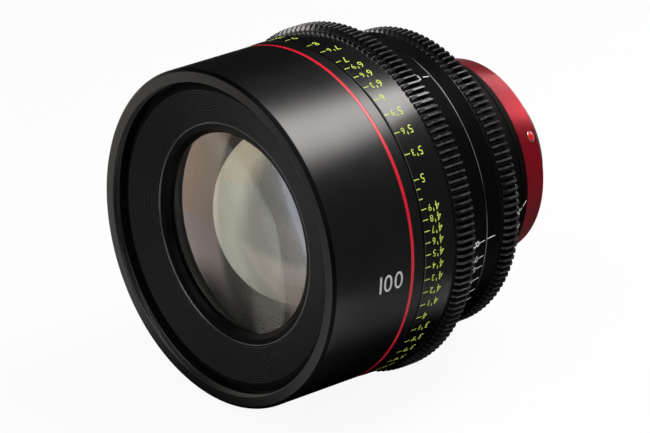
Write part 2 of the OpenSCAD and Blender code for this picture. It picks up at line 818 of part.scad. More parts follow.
module focus_retainer() {
    hold_r = focus_glass_r - focus_lip_w;
    z_hold = z_focus_b1 + sag(focus_b_curve, focus_glass_r) - sag(focus_b_curve, hold_r) + seat_clear;
    color(black_satin) lens_frame() turned([
        [hold_r, z_hold],
        [focus_glass_r, z_focus_b1 + seat_clear],
        [focus_retainer_r, z_focus_b1 + seat_clear],
        [focus_retainer_r, z_focus_cell1],
        [hold_r, z_focus_cell1]]);
}

module index_screw_places() {
    around(index_screw_count, index_screw_angle) translate([(chamber_r + housing_r) / 2, 0, 0]) children();
}

// Fixed barrel with the reading marks: a flange joins it to the rear barrel, a spigot carries the rear bush
module index_barrel() {
    spigot_in_r = rear_spigot_r - spigot_wall;
    color(black_satin) lens_frame() difference() {
        turned([
            [guide_bore_r, z_index0],
            [index_r0 - edge_bevel, z_index0],
            [index_r0, z_index0 + edge_bevel],
            [index_r1, z_index1 - edge_bevel],
            [index_r1 - edge_bevel, z_index1],
            [rear_spigot_r, z_index1],
            [rear_spigot_r, z_index1 + rear_spigot_len],
            [spigot_in_r, z_index1 + rear_spigot_len],
            [spigot_in_r, z_guide0],
            [guide_bore_r, z_guide0]]);
        index_screw_places() cap_screw(z_guide0 + guide_flange_t, index_screw_len, seat_clear);
    }
}

module index_screws() {
    color(steel) lens_frame() index_screw_places() cap_screw(z_guide0 + guide_flange_t, index_screw_len);
}

module iris_ring() {
    color(black_satin) lens_frame() difference() {
        turned([
            [iris_journal_r + run_clear, z_iris0],
            [iris_cone_d0 / 2 - edge_bevel, z_iris0],
            [iris_cone_d0 / 2, z_iris0 + edge_bevel],
            [iris_cone_d1 / 2, z_iris_gear0],
            [iris_tip_r - gear_module, z_iris_gear0],
            [iris_tip_r, z_iris_gear0 + gear_module],
            [iris_tip_r, z_iris_gear1 - tooth_lead],
            [iris_tip_r - tooth_lead_h, z_iris_gear1],
            [iris_lip_r, z_iris_gear1],
            [iris_lip_r, z_iris1 - edge_bevel],
            [iris_lip_r - edge_bevel, z_iris1],
            [iris_front_land_r, z_iris1],
            [iris_front_land_r, z_iris1 - iris_front_land_len],
            [iris_bore_r, z_iris1 - iris_front_land_len],
            [iris_bore_r, z_flare1 - 0.5],
            [iris_journal_r + run_clear, z_iris0 + iris_land_len]]);
        tooth_gaps(iris_teeth, iris_tip_r, z_iris_gear0, z_iris_gear1);
        radial_bar(iris_pin_angle, z_iris_pin, iris_pin_r, chamber_r, iris_pin_in_r + iris_pin_len);
    }
}

// Joins the iris ring to the cam ring through the slot in the housing
module iris_drive_pin() {
    color(steel) lens_frame()
        radial_bar(iris_pin_angle, z_iris_pin, iris_pin_r, iris_pin_in_r, iris_pin_in_r + iris_pin_len);
}

// Slot of one blade in the cam ring, drawn for a blade whose pivot lies on +x
module blade_slot() {
    half = blade_pin_r + run_clear;
    path = [for (i = [0:slot_steps]) drive_pin_in_ring(iris_throw * i / slot_steps)];
    normals = [for (i = [0:slot_steps]) let (
            along = path[min(i + 1, slot_steps)] - path[max(i - 1, 0)],
            unit = along / norm(along)) [-unit[1], unit[0]]];
    left = [for (i = [0:slot_steps]) path[i] + half * normals[i]];
    right = [for (i = [slot_steps:-1:0]) path[i] - half * normals[i]];
    polygon(concat(left, right));
    translate(path[0]) circle(r = half);
    translate(path[slot_steps]) circle(r = half);
}

module iris_cam_ring() {
    color(brass) lens_frame() difference() {
        turned([
            [iris_cam_hole_r, z_cam_ring0],
            [iris_cam_r, z_cam_ring0],
            [iris_cam_r, z_cam_ring1],
            [iris_cam_r - iris_cam_rim_w, z_cam_ring1],
            [iris_cam_r - iris_cam_rim_w, z_cam_ring0 + cam_plate_t],
            [iris_cam_hole_r, z_cam_ring0 + cam_plate_t]]);
        translate([0, 0, z_cam_ring0 - 1])
            linear_extrude(height = cam_plate_t + 2) around(blade_count) blade_slot();
        radial_bar(iris_pin_angle, z_iris_pin, iris_pin_r, iris_pin_in_r, chamber_r + 1);
    }
}

module iris_base() {
    color(black_matt) lens_frame() difference() {
        tube(z_chamber0, z_chamber0 + iris_base_t, chamber_r - seat_clear, aperture_r);
        around(blade_count) translate([pivot_circle_r, 0, 0])
            disc(z_chamber0 - 1, z_chamber0 + iris_base_t + 1, blade_pin_r + pivot_clear);
    }
}

// Outline of a blade whose pivot lies on +x: leaf, ear around the pivot, lever to the drive pin
module blade_outline() {
    tip_r = blade_w / 2;
    mid_r = (blade_in_r + blade_out_r) / 2;
    leaf_end = leaf_start + blade_span;
    wedge_r = 2 * blade_out_r;
    intersection() {
        difference() {
            circle(r = blade_out_r);
            circle(r = blade_in_r);
        }
        polygon([[0, 0], polar(wedge_r, leaf_start), polar(wedge_r, leaf_start + blade_span / 2),
            polar(wedge_r, leaf_end)]);
    }
    translate(polar(mid_r, leaf_end)) circle(r = tip_r);
    translate([mid_r, -blade_ear_r]) square([pivot_circle_r - mid_r, 2 * blade_ear_r]);
    translate([pivot_circle_r, 0]) {
        circle(r = blade_ear_r);
        rotate(lever_angle) translate([0, -lever_w / 2]) square([lever_len, lever_w]);
    }
    translate(drive_pin_at(0)) circle(r = lever_w / 2);
}

// Each blade lies in its own layer, with its pivot pin to the rear and its drive pin to the front
module iris_blade(i) {
    z0 = z_blades0 + iris_gap + (i - 1) * blade_pitch;
    color(black_matt) lens_frame() rotate([0, 0, spread(blade_count, i - 1)]) {
        translate([0, 0, z0]) linear_extrude(height = blade_t) blade_outline();
        translate([pivot_circle_r, 0, 0]) disc(z_chamber0 + 0.1, z0 + blade_t / 2, blade_pin_r);
        translate(drive_pin_at(0)) disc(z0 + blade_t / 2, z_cam_ring0 + cam_plate_t - 0.1, blade_pin_r);
    }
}

// Fixed cone behind the iris ring, with the journal and the housing that the iris ring turns on
module rear_barrel() {
    seat_bore_r = rear_cell_bore_r + rear_cell_flange_w;
    slot_z0 = z_iris_pin - iris_pin_r - seam;
    pin_turn = (iris_pin_r + seam) / chamber_r * 180 / PI;
    color(black_satin) lens_frame() difference() {
        turned([
            [rear_cell_bore_r, z_collar1],
            [rear_cone_d0 / 2, z_collar1],
            [rear_cone_d1 / 2, z_rear1 - edge_bevel],
            [rear_cone_d1 / 2 - edge_bevel, z_rear1],
            [iris_journal_r, z_rear1],
            [iris_journal_r, z_flare0],
            [housing_r, z_flare1],
            [housing_r, z_index0],
            [chamber_r, z_index0],
            [chamber_r, z_chamber0],
            [seat_bore_r, z_chamber0],
            [seat_bore_r, z_rear_shoulder],
            [rear_cell_bore_r, z_rear_shoulder]]);
        ring_sector(slot_z0, z_index0 + 1, housing_r + 1, chamber_r - 1,
            iris_pin_angle - pin_turn, iris_throw + 2 * pin_turn);
        index_screw_places() cap_screw(z_guide0 + guide_flange_t, index_screw_len, seat_clear);
    }
}

module rear_cell() {
    color(black_matt) lens_frame() turned([
        [rear_b_r + seat_clear, z_rear_cell0],
        [rear_tail_r, z_rear_cell0],
        [rear_tail_r, z_collar1 - seam],
        [rear_cell_r, z_collar1 - seam],
        [rear_cell_r, z_rear_shoulder],
        [rear_cell_r + rear_cell_flange_w, z_rear_shoulder],
        [rear_cell_r + rear_cell_flange_w, z_rear_cell1],
        [rear_a_r + seat_clear, z_rear_cell1],
        [rear_a_r + seat_clear, z_rear_a0],
        [rear_b_r - rear_lip_w, z_rear_a0],
        [rear_b_r - rear_lip_w, z_rear_b1],
        [rear_b_r + seat_clear, z_rear_b1]]);
}

module rear_element_a() {
    drop = sag(rear_a_curve, rear_a_r) - sag(rear_a_curve, rear_a_r - rear_ring_wall);
    color(glass_tint) lens_frame() lens_glass(z_rear_a0, z_rear_a1 - drop, rear_a_r, rear_a_curve);
}

module rear_retainer_a() {
    color(black_satin) lens_frame()
        tube(z_rear_a1 + seat_clear, z_rear_cell1, rear_a_r, rear_a_r - rear_ring_wall);
}

module rear_element_b() {
    drop = sag(rear_b_curve, rear_b_r) - sag(rear_b_curve, rear_b_r - rear_lip_w);
    color(glass_tint) lens_frame() lens_glass(z_rear_b0, z_rear_b1 - drop, rear_b_r, rear_b_curve);
}

module rear_retainer_b() {
    color(black_satin) lens_frame() tube(z_rear_cell0, z_rear_b0, rear_b_r, rear_b_r - rear_ring_wall);
}

module bead_place_frame() {
    slope = atan((collar_d1 - collar_d0) / 2 / collar_len);
    surface_r = collar_d0 / 2 + (bead_place - z_collar0) * tan(slope);
    rotate([0, 0, bead_angle]) translate([surface_r, 0, bead_place]) rotate([0, 90 + slope, 0]) children();
}

module mount_collar() {
    color(collar_red) lens_frame() difference() {
        turned([
            [collar_boss_r, z_collar0],
            [collar_d0 / 2 - edge_bevel, z_collar0],
            [collar_d0 / 2, z_collar0 + edge_bevel],
            [collar_d1 / 2, z_collar1 - edge_bevel],
            [collar_d1 / 2 - edge_bevel, z_collar1],
            [collar_bore_r, z_collar1],
            [collar_bore_r, z_collar0 + collar_boss_t],
            [collar_boss_r, z_collar0 + collar_boss_t]]);
        bead_place_frame() disc(-bead_depth, 1, bead_d / 2 + seat_clear);
        mount_screw_places() mount_screw(seat_clear);
    }
}

module index_bead() {
    bead_r = bead_d / 2;
    dome = (bead_r * bead_r + bead_proud * bead_proud) / (2 * bead_proud);
    color(accent_red) lens_frame() bead_place_frame() intersection() {
        disc(-bead_depth, bead_proud, bead_r);
        translate([0, 0, bead_proud - dome]) sphere(r = dome);
    }
}

module mount_screw_places() {
    around(mount_screw_count, mount_screw_angle) translate([mount_screw_circle, 0, 0]) children();
}

// Countersunk screw whose head is flush with the flange's face
module mount_screw(grow = 0) {
    turned([
        [0, 0],
        [screw_head_r + grow, 0],
        [screw_r + grow, head_cone_h],
        [screw_r + grow, mount_screw_len],
        [0, mount_screw_len]]);
}

module bayonet_mount() {
    bore_r = bayonet_r - bayonet_wall - mask_seat_w;
    z_mask = -bayonet_len + mask_inset + mask_t;
    color(chrome) lens_frame() difference() {
        union() {
            turned([
                [bore_r, z_mask],
                [bayonet_r - bayonet_wall, z_mask],
                [bayonet_r - bayonet_wall, -bayonet_len],
                [bayonet_r - edge_bevel, -bayonet_len],
                [bayonet_r, -bayonet_len + edge_bevel],
                [bayonet_r, seat_relief],
                [lug_d / 2 + seat_relief, seat_relief],
                [lug_d / 2 + seat_relief, 0],
                [flange_d / 2 - edge_bevel, 0],
                [flange_d / 2, edge_bevel],
                [flange_d / 2, flange_t],
                [spigot_r, flange_t],
                [spigot_r, flange_t + spigot_len],
                [spigot_r - spigot_wall_t, flange_t + spigot_len],
                [spigot_r - spigot_wall_t, flange_t],
                [bore_r, flange_t]]);
            for (i = [0:lug_count - 1])
                ring_sector(-lug_gap - lug_t, -lug_gap, lug_d / 2, bayonet_r - 0.5,
                    lug_angle0 + spread(lug_count, i), lug_span);
        }
        mount_screw_places() mount_screw(seat_clear);
        rotate([0, 0, lock_hole_angle]) translate([mount_screw_circle, 0, 0]) disc(-1, lock_hole_depth, lock_hole_r);
    }
}

module mount_screws() {
    color(steel) lens_frame() mount_screw_places() mount_screw();
}

// Rear mask with a window of the picture's shape
module rear_mask() {
    z0 = -bayonet_len + mask_inset;
    color(black_matt) lens_frame() difference() {
        disc(z0, z0 + mask_t, bayonet_r - bayonet_wall - seat_clear);
        translate([-mask_window[0] / 2, -mask_window[1] / 2, z0 - 1])
            cube([mask_window[0], mask_window[1], mask_t + 2]);
    }
}

front_barrel();
accent_ring();
front_collar();
light_baffle();
front_retainer();
front_element();
front_spacer();
second_element();
front_cell();
front_screws();
guide_tube();
focus_ring();
cam_sleeve();
cam_screws();
focus_bush_front();
focus_bush_rear();
focus_cell();
focus_element_a();
focus_spacer();
focus_element_b();
focus_retainer();
cam_followers();
index_barrel();
index_screws();
iris_ring();
iris_drive_pin();
iris_cam_ring();
iris_base();
rear_barrel();
rear_cell();
rear_element_a();
rear_retainer_a();
rear_element_b();
rear_retainer_b();
mount_collar();
index_bead();
bayonet_mount();
mount_screws();
rear_mask();
for (i = [1:blade_count])
    iris_blade(i);
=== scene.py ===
import math

import bmesh
import bpy
from mathutils import Matrix, Vector


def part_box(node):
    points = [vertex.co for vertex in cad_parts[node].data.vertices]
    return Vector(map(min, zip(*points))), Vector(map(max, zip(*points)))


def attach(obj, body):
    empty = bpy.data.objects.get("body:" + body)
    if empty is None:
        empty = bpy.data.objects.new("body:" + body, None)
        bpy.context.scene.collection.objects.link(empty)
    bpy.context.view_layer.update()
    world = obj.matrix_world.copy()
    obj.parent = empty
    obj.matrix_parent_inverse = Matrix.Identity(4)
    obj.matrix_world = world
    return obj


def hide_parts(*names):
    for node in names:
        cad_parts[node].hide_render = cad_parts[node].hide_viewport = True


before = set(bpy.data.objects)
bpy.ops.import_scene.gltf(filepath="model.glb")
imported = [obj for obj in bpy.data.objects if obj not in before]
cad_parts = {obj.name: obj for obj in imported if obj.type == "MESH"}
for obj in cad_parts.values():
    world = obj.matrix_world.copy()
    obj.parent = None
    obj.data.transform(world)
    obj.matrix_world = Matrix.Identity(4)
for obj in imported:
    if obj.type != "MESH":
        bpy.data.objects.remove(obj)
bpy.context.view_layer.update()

MM = 0.001

# Heights in mm, forward from the mount's flange, and radii of the turned pieces
RIM = 115.9
FRONT_R = 57.0
FILTER_R = 52.5
FOCUS_TEETH, FOCUS_TIP, FOCUS_ROOT = 146, 59.19, 57.4
IRIS_TEETH, IRIS_TIP, IRIS_ROOT = 126, 51.2, 49.4
FOCUS_BAND_R = 57.2
GLASS_R = 36.4
ACCENT_LOW, ACCENT_HIGH = 81.6, 82.8
BAFFLE_SEAT = 108.5
FLOOR_Z = -59.3

# Cones of the outside, each between two points (r, z)
FOCUS_CONE = (52.3, 45.7), (54.3, 55.9)
INDEX_CONE = (51.0, 37.25), (52.0, 44.45)
IRIS_CONE = (40.8, 17.95), (47.3, 28.5)
REAR_CONE = (36.9, 11.7), (40.4, 17.15)
COLLAR_CONE = (33.7, 1.35), (36.5, 11.45)

SEGMENTS, THREAD_SEGMENTS = 360, 480


# Placing points on the lens

def on_lens(r, turn, z):
    """A point in metres: r and z in mm, z forward from the flange, turn in degrees from the right upwards."""
    angle = math.radians(turn)
    return Vector((r * math.cos(angle), -z, r * math.sin(angle))) * MM


def sag(curve, r):
    return curve - math.sqrt(curve * curve - r * r)


def cone(ends):
    """The radius at a height along a cone between two points (r, z)."""
    (low_r, low_z), (high_r, high_z) = ends

    def radius(z):
        return low_r + (z - low_z) * (high_r - low_r) / (high_z - low_z)
    return radius


def eased(corners, ease=0.1, steps=3):
    """A closed profile whose corners (r, z) or (r, z, size) are rounded."""
    points = []
    for i, corner in enumerate(corners):
        here = Vector(corner[:2])
        size = corner[2] if len(corner) > 2 else ease
        before = Vector(corners[i - 1][:2]) - here
        after = Vector(corners[(i + 1) % len(corners)][:2]) - here
        reach = min(size, 0.45 * before.length, 0.45 * after.length)
        if reach < 0.01:
            points.append(here)
            continue
        start, end = here + before.normalized() * reach, here + after.normalized() * reach
        for k in range(steps + 1):
            t = k / steps
            points.append(start.lerp(here, t).lerp(here.lerp(end, t), t))
    return [(p.x, p.y) for p in points]


def even_turns(count):
    return [360 * i / count for i in range(count)]


def turned(profile, turns=even_turns(SEGMENTS), cut=None, closed=True):
    """A solid of revolution from (r, z) points; cut(r, turn, z) may give another radius at a turn."""
    bm = bmesh.new()
    rows = []
    for turn in turns:
        rows.append([bm.verts.new(on_lens(cut(r, turn, z) if cut else r, turn, z)) for r, z in profile])
    steps = len(profile) if closed else len(profile) - 1
    for i, row in enumerate(rows):
        after = rows[(i + 1) % len(rows)]
        for j in range(steps):
            k = (j + 1) % len(profile)
            bm.faces.new((row[j], row[k], after[k], after[j]))
    if not closed:
        bmesh.ops.remove_doubles(bm, verts=bm.verts, dist=1e-7)
    return bm


def piece(name, bm, body, finish, nodes=(), sharp=38, parts=(), evened=True):
    """Makes a piece of the object from bm, which rides on body and stands for the CAD nodes.

    parts are (finish, low, high, least radius): other finishes between two heights and outside a radius.
    """
    bmesh.ops.recalc_face_normals(bm, faces=bm.faces)
    mesh = bpy.data.meshes.new(name)
    bm.to_mesh(mesh)
    bm.free()
    mesh.shade_smooth()
    mesh.set_sharp_from_angle(angle=math.radians(sharp))
    mesh.materials.append(finish.material)
    for place, (other, low, high, least) in enumerate(parts, 1):
        mesh.materials.append(other.material)
        for face in mesh.polygons:
            if low < -face.center.y / MM < high and math.hypot(face.center.x, face.center.z) / MM > least:
                face.material_index = place
    made = bpy.data.objects.new(name, mesh)
    bpy.context.scene.collection.objects.link(made)
    if evened:
        made.modifiers.new("even_shading", "WEIGHTED_NORMAL").keep_sharp = True
    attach(made, body)
    if nodes:
        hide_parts(*nodes)


# Finishes: a wire carries a value, and sums on wires add Math nodes

class Wire:
    def __init__(self, finish, socket):
        self.finish, self.socket = finish, socket

    def out(self, name):
        return Wire(self.finish, self.socket.node.outputs[name])

    def sum(self, operation, first, second):
        return self.finish.node("Math", {"operation": operation}, {0: first, 1: second})

    def __add__(self, other):
        return self.sum("ADD", self, other)

    def __radd__(self, other):
        return self.sum("ADD", other, self)

    def __sub__(self, other):
        return self.sum("SUBTRACT", self, other)

    def __rsub__(self, other):
        return self.sum("SUBTRACT", other, self)

    def __mul__(self, other):
        return self.sum("MULTIPLY", self, other)

    def __rmul__(self, other):
        return self.sum("MULTIPLY", other, self)

    def __truediv__(self, other):
        return self.sum("DIVIDE", self, other)

    def __pow__(self, other):
        return self.sum("POWER", self, other)

    def most(self, other):
        return self.sum("MAXIMUM", self, other)


class Finish:
    def __init__(self, name):
        self.material = bpy.data.materials.new(name)
        self.material.use_nodes = True
        self.tree = self.material.node_tree
        self.tree.nodes.clear()

    def node(self, kind, settings=None, sockets=None, out=0):
        """Adds a node: its settings first, then its sockets' values or wires."""
        made = self.tree.nodes.new("ShaderNode" + kind)
        for key, value in (settings or {}).items():
            setattr(made, key, value)
        for key, value in (sockets or {}).items():
            if isinstance(value, Wire):
                self.tree.links.new(value.socket, made.inputs[key])
            else:
                made.inputs[key].default_value = value
        return Wire(self, made.outputs[out]) if made.outputs else None

    def place(self):
        return self.node("TexCoord", out="Object")

    def lathe_place(self):
        """Radius and height in metres and turn in radians, as wires."""
        split = self.node("SeparateXYZ", sockets={0: self.place()})
        x, y, z = split.out("X"), split.out("Y"), split.out("Z")
        return (x * x + z * z) ** 0.5, y * -1.0, self.node("Math", {"operation": "ARCTAN2"}, {0: z, 1: x})

    def grain(self, where, scale, detail=2.0, rough=0.5):
        sockets = {"Vector": where, "Scale": scale, "Detail": detail, "Roughness": rough}
        return self.node("TexNoise", {}, sockets, out="Fac")

    def lathe_lines(self, scale=9000.0, along_turn=0.8):
        """Fine tool lines that run round the axis."""
        radius, height, turn = self.lathe_place()
        where = self.node("CombineXYZ", sockets={0: radius * scale, 1: height * scale, 2: turn * along_turn})
        return self.grain(where, 1.0, 2.0)

    def span(self, value, low, high, to_low=0.0, to_high=1.0):
        sockets = {"Value": value, "From Min": low, "From Max": high, "To Min": to_low, "To Max": to_high}
        return self.node("MapRange", {"interpolation_type": "SMOOTHSTEP"}, sockets)

    def blend(self, share, first, second):
        return self.node("Mix", {"data_type": "RGBA"}, {0: share, 6: colour(first), 7: colour(second)}, out=2)

    def bump(self, height, strength, distance):
        sockets = {"Height": height, "Strength": strength, "Distance": distance}
        return self.node("Bump", {}, sockets, out="Normal")

    def close(self, shader):
        self.node("OutputMaterial", {}, {"Surface": shader})
        return self

    def solid(self, **sockets):
        """Closes the finish with one principled surface; names use _ for spaces."""
        return self.close(self.node("BsdfPrincipled", {}, {
            key.replace("_", " "): colour(value) if "Color" in key or "Tint" in key else value
            for key, value in sockets.items()}))


def colour(value):
    return value if isinstance(value, Wire) else (*value[:3], 1.0)


BARE_METAL = (0.22, 0.216, 0.21)


def anodised(name, dark, light, roughness, metal=0.0, lines=0.05, specular=0.5, worn_r=None, coat=0.0):
    """Dyed anodised aluminium: blasted grain, tool lines round the axis and rubbed edges at worn_r."""
    f = Finish(name)
    where = f.place()
    cloud = f.grain(where, 45.0, 4.0, 0.6)
    fine = f.grain(where, 5200.0, 2.0)
    tool = f.lathe_lines()
    tint = f.blend(f.span(cloud, 0.3, 0.7), dark, light)
    rough = roughness + (cloud - 0.5) * 0.10 + (tool - 0.5) * 0.10 + (fine - 0.5) * 0.06
    if worn_r:
        radius, _, _ = f.lathe_place()
        spots = f.span(f.grain(where, 420.0, 3.0), 0.40, 0.66, 0.3, 1.0)
        rub = f.span(radius, worn_r - 0.00022, worn_r + 0.0001) * spots
        tint = f.blend(rub * 0.5, tint, BARE_METAL)
        metal = rub * 0.5
    return f.solid(Base_Color=tint, Roughness=rough, Metallic=metal, Specular_IOR_Level=specular,
                   Coat_Weight=coat, Coat_Roughness=0.2,
                   Normal=f.bump(tool * lines + fine * 0.25, 0.10, 0.00008))


def matt(name, dark, light, roughness=0.62, specular=0.4):
    """Flat black paint with a fine flocked grain."""
    f = Finish(name)
    where = f.place()
    fine = f.grain(where, 3800.0, 3.0)
    cloud = f.grain(where, 60.0, 3.0)
    return f.solid(Base_Color=f.blend(f.span(cloud, 0.3, 0.7), dark, light),
                   Roughness=roughness + (fine - 0.5) * 0.16, Specular_IOR_Level=specular,
                   Normal=f.bump(fine, 0.18, 0.00006))


def bright_metal(name, dark, light, roughness, lines=0.5, streaks=7000.0):
    """Plated or machined metal with tool lines and light handling marks."""
    f = Finish(name)
    where = f.place()
    tool = f.lathe_lines(streaks)
    marks = f.grain(where, 130.0, 5.0, 0.65)
    return f.solid(Base_Color=f.blend(f.span(marks, 0.35, 0.7), dark, light), Metallic=1.0,
                   Roughness=roughness + (tool - 0.5) * 0.14 + (marks - 0.5) * 0.12,
                   Normal=f.bump(tool, 0.05 * lines, 0.00005))


def paint(name, dark, light):
    """Filled engraving paint, slightly uneven in depth of colour."""
    f = Finish(name)
    where = f.place()
    body = f.grain(where, 900.0, 3.0)
    return f.solid(Base_Color=f.blend(f.span(body, 0.3, 0.7), dark, light),
                   Roughness=0.55 + (body - 0.5) * 0.2, Specular_IOR_Level=0.3,
                   Normal=f.bump(body, 0.1, 0.00005))


def ribbed_black(name, outer_r, pitch, top_share):
    """Black ribs that step inwards from outer_r: satin rib tops and matt grooves, the grooves' colour
    darkened as painted shade.
    """
    f = Finish(name)
    where = f.place()
    radius, _, _ = f.lathe_place()
    fine = f.grain(where, 3800.0, 3.0)
    cloud = f.grain(where, 60.0, 3.0)
    step = f.node("Math", {"operation": "FRACT"}, {0: (outer_r - radius) / pitch})
    inside = f.span(radius, outer_r, outer_r + 0.0001, 1.0, 0.0)
    top = f.span(step, top_share - 0.04, top_share + 0.08, 1.0, 0.0) * inside
    # painted shade: the grooves' colour is far darker than the rib tops', standing in for shade inside the
    # grooves
    groove_painted_shade = f.blend(f.span(cloud, 0.3, 0.7), (0.0010, 0.0010, 0.0013), (0.0016, 0.0016, 0.0019))
    return f.solid(Base_Color=f.blend(top, groove_painted_shade, (0.020, 0.020, 0.022)),
                   Roughness=0.74 - top * 0.40 + (fine - 0.5) * 0.14, Specular_IOR_Level=0.22,
                   Normal=f.bump(fine, 0.12, 0.00005))


def coated_glass(name, tint, index, reflection, film=(0.0, 1.33)):
    """Clear glass under a film (thickness in nm, index), with a tinted reflection and a trace of haze."""
    f = Finish(name)
    haze = f.grain(f.place(), 90.0, 4.0)
    return f.solid(Base_Color=tint, Transmission_Weight=1.0, IOR=index,
                   Roughness=f.span(haze, 0.5, 0.9, 0.0, 0.012), Specular_Tint=reflection,
                   Thin_Film_Thickness=film[0], Thin_Film_IOR=film[1])


# Dyes, darkest and lightest
GEAR_DYE = (0.0014, 0.0014, 0.0015), (0.0022, 0.0022, 0.0022)
DEEP_DYE = (0.0010, 0.0010, 0.0011), (0.0016, 0.0016, 0.0016)

satin_black = anodised("satin_black", (0.0020, 0.0020, 0.0022), (0.0032, 0.0031, 0.0031), 0.30)
focus_gear_black = anodised("focus_gear_black", *GEAR_DYE, 0.24, worn_r=FOCUS_TIP * MM)
iris_gear_black = anodised("iris_gear_black", *GEAR_DYE, 0.24, worn_r=IRIS_TIP * MM)
deep_black = anodised("deep_black", *DEEP_DYE, 0.30, specular=0.05)
rough_black = anodised("rough_black", *DEEP_DYE, 0.52, specular=0.012)
rim_black = anodised("rim_black", (0.0030, 0.0030, 0.0032), (0.0046, 0.0045, 0.0045), 0.32, specular=0.38)
rubbed_edge = bright_metal("rubbed_edge", (0.09, 0.09, 0.09), (0.12, 0.119, 0.117), 0.16)
bead_line = bright_metal("bead_line", (0.10, 0.10, 0.10), (0.14, 0.138, 0.135), 0.30)
inner_black = matt("inner_black", (0.004, 0.004, 0.004), (0.006, 0.0058, 0.0056), specular=0.08)
accent_red = anodised("accent_red", (0.62, 0.006, 0.024), (0.70, 0.009, 0.030), 0.34, lines=0.02)
crimson = anodised("crimson_collar", (0.40, 0.0012, 0.014), (0.47, 0.0018, 0.018), 0.30, metal=0.8,
                   specular=0.3)
bead_red = anodised("bead_red", (0.62, 0.006, 0.014), (0.70, 0.010, 0.020), 0.16, lines=0.0, coat=0.8)
bead_seat = bright_metal("bead_seat", (0.75, 0.62, 0.62), (0.85, 0.74, 0.74), 0.25)
chrome = bright_metal("mount_plating", (0.56, 0.57, 0.58), (0.66, 0.66, 0.66), 0.20)
steel = bright_metal("turned_steel", (0.42, 0.42, 0.43), (0.52, 0.51, 0.50), 0.32)
brass = bright_metal("bearing_brass", (0.55, 0.40, 0.17), (0.68, 0.50, 0.22), 0.30)
blade_steel = bright_metal("blackened_blade", (0.030, 0.030, 0.032), (0.050, 0.048, 0.047), 0.40, lines=0.1)
white_paint = paint("white_paint", (0.78, 0.78, 0.77), (0.88, 0.88, 0.87))
lime_paint = paint("lime_paint", (0.52, 0.66, 0.07), (0.62, 0.74, 0.11))
grey_paint = paint("grey_paint", (0.52, 0.52, 0.52), (0.60, 0.60, 0.60))
front_coat = coated_glass("front_coated_glass", (1.0, 1.0, 1.0), 1.4, (1.0, 0.70, 0.57), (70.0, 1.75))
front_back = coated_glass("front_glass_back", (1.0, 1.0, 1.0), 1.4, (0.95, 0.92, 0.78), (70.0, 1.5))
second_coat = coated_glass("second_coated_glass", (0.98, 1.0, 0.98), 1.22, (1.0, 0.98, 0.82), (62.0, 2.6))
second_back = coated_glass("second_glass_back", (0.98, 1.0, 0.98), 1.22, (0.85, 1.0, 0.80))
inner_coat = coated_glass("inner_coated_glass", (0.98, 1.0, 0.98), 1.2, (0.85, 1.0, 0.80))
rear_coat = coated_glass("rear_coated_glass", (0.99, 1.0, 0.98), 1.60, (0.75, 1.0, 0.85))


# Front barrel with its filter thread

THREAD_PITCH, THREAD_DEPTH = 0.8, 0.42
THREAD_LOW, THREAD_HIGH = RIM - 2.55, RIM - 0.25
THREAD_STEPS, THREAD_RUN_OUT = 28, 0.25


def filter_thread(r, turn, z):
    """Radius of the thread's wall: a helix between the lead-in and the relief."""
    if abs(r - FILTER_R) > 0.001 or not THREAD_LOW <= z <= THREAD_HIGH:
        return r
    wave = abs(((z / THREAD_PITCH - turn / 360) % 1) * 2 - 1)
    ends = min(1.0, (z - THREAD_LOW) / THREAD_RUN_OUT, (THREAD_HIGH - z) / THREAD_RUN_OUT)
    return r + THREAD_DEPTH * max(0.0, ends) * min(1.0, max(0.0, 1.35 * wave - 0.15))


thread_wall = [(FILTER_R, THREAD_HIGH - (THREAD_HIGH - THREAD_LOW) * i / THREAD_STEPS)
               for i in range(THREAD_STEPS + 1)]
front_profile = (
    eased([(50.0, ACCENT_HIGH), (FRONT_R, ACCENT_HIGH, 0.15), (FRONT_R, RIM - 0.9, 0.3),
           (FRONT_R - 0.9, RIM, 0.3), (FILTER_R + 0.25, RIM, 0.1), (FILTER_R, THREAD_HIGH - 0.001, 0)])[4:]
    + thread_wall[1:]
    + eased([(FILTER_R, THREAD_LOW, 0), (53.3, 112.55), (53.3, BAFFLE_SEAT), (50.6, BAFFLE_SEAT),
             (50.6, 105.5), (54.0, 102.5), (54.0, 86.8), (41.0, 86.8), (41.0, ACCENT_HIGH),
             (FRONT_R - 1, ACCENT_HIGH, 0)])[1:-1])
rim_finishes = [(rim_black, 113.0, 116.0, 0), (deep_black, RIM - 0.98, RIM - 0.02, FRONT_R - 1.1)]
piece("front_housing", turned(front_profile, even_turns(THREAD_SEGMENTS), filter_thread), "barrel",
      satin_black, ["front_barrel"], parts=rim_finishes)

piece("red_accent_band", turned(eased([
    (54.5, ACCENT_LOW), (FRONT_R, ACCENT_LOW, 0.12), (FRONT_R, ACCENT_HIGH, 0.12), (54.5, ACCENT_HIGH)])),
    "barrel", accent_red, ["accent_ring"])

piece("front_band", turned(eased([
    (41.46, 77.2), (50.44, 77.2), (50.44, 67.6), (52.64, 67.6), (52.64, 77.2), (56.75, 77.2, 0.1),
    (FRONT_R, 77.45, 0.1), (FRONT_R, ACCENT_LOW, 0.12), (54.45, ACCENT_LOW), (54.45, ACCENT_HIGH),
    (41.46, ACCENT_HIGH)])), "barrel", satin_black, ["front_collar"])


# Ribbed light baffle, retaining ring and front glass

BAFFLE_LIP_R, BAFFLE_LIP_Z = 49.0, 112.2
BAFFLE_HOLE_R, BAFFLE_HOLE_Z = 37.8, 109.2
BAFFLE_RIBS, RIB_TOP_SHARE = 20, 0.34

# One rib: share of the pitch inwards, and depth below the slope
RIB_SHAPE = [(0.0, 0.0), (0.06, -0.05), (0.30, -0.05), (0.38, 0.02), (0.62, 0.33), (0.74, 0.35),
             (0.84, 0.33)]


def baffle_slope(r):
    share = (BAFFLE_LIP_R - r) / (BAFFLE_LIP_R - BAFFLE_HOLE_R)
    return BAFFLE_LIP_Z + share * (BAFFLE_HOLE_Z - BAFFLE_LIP_Z)


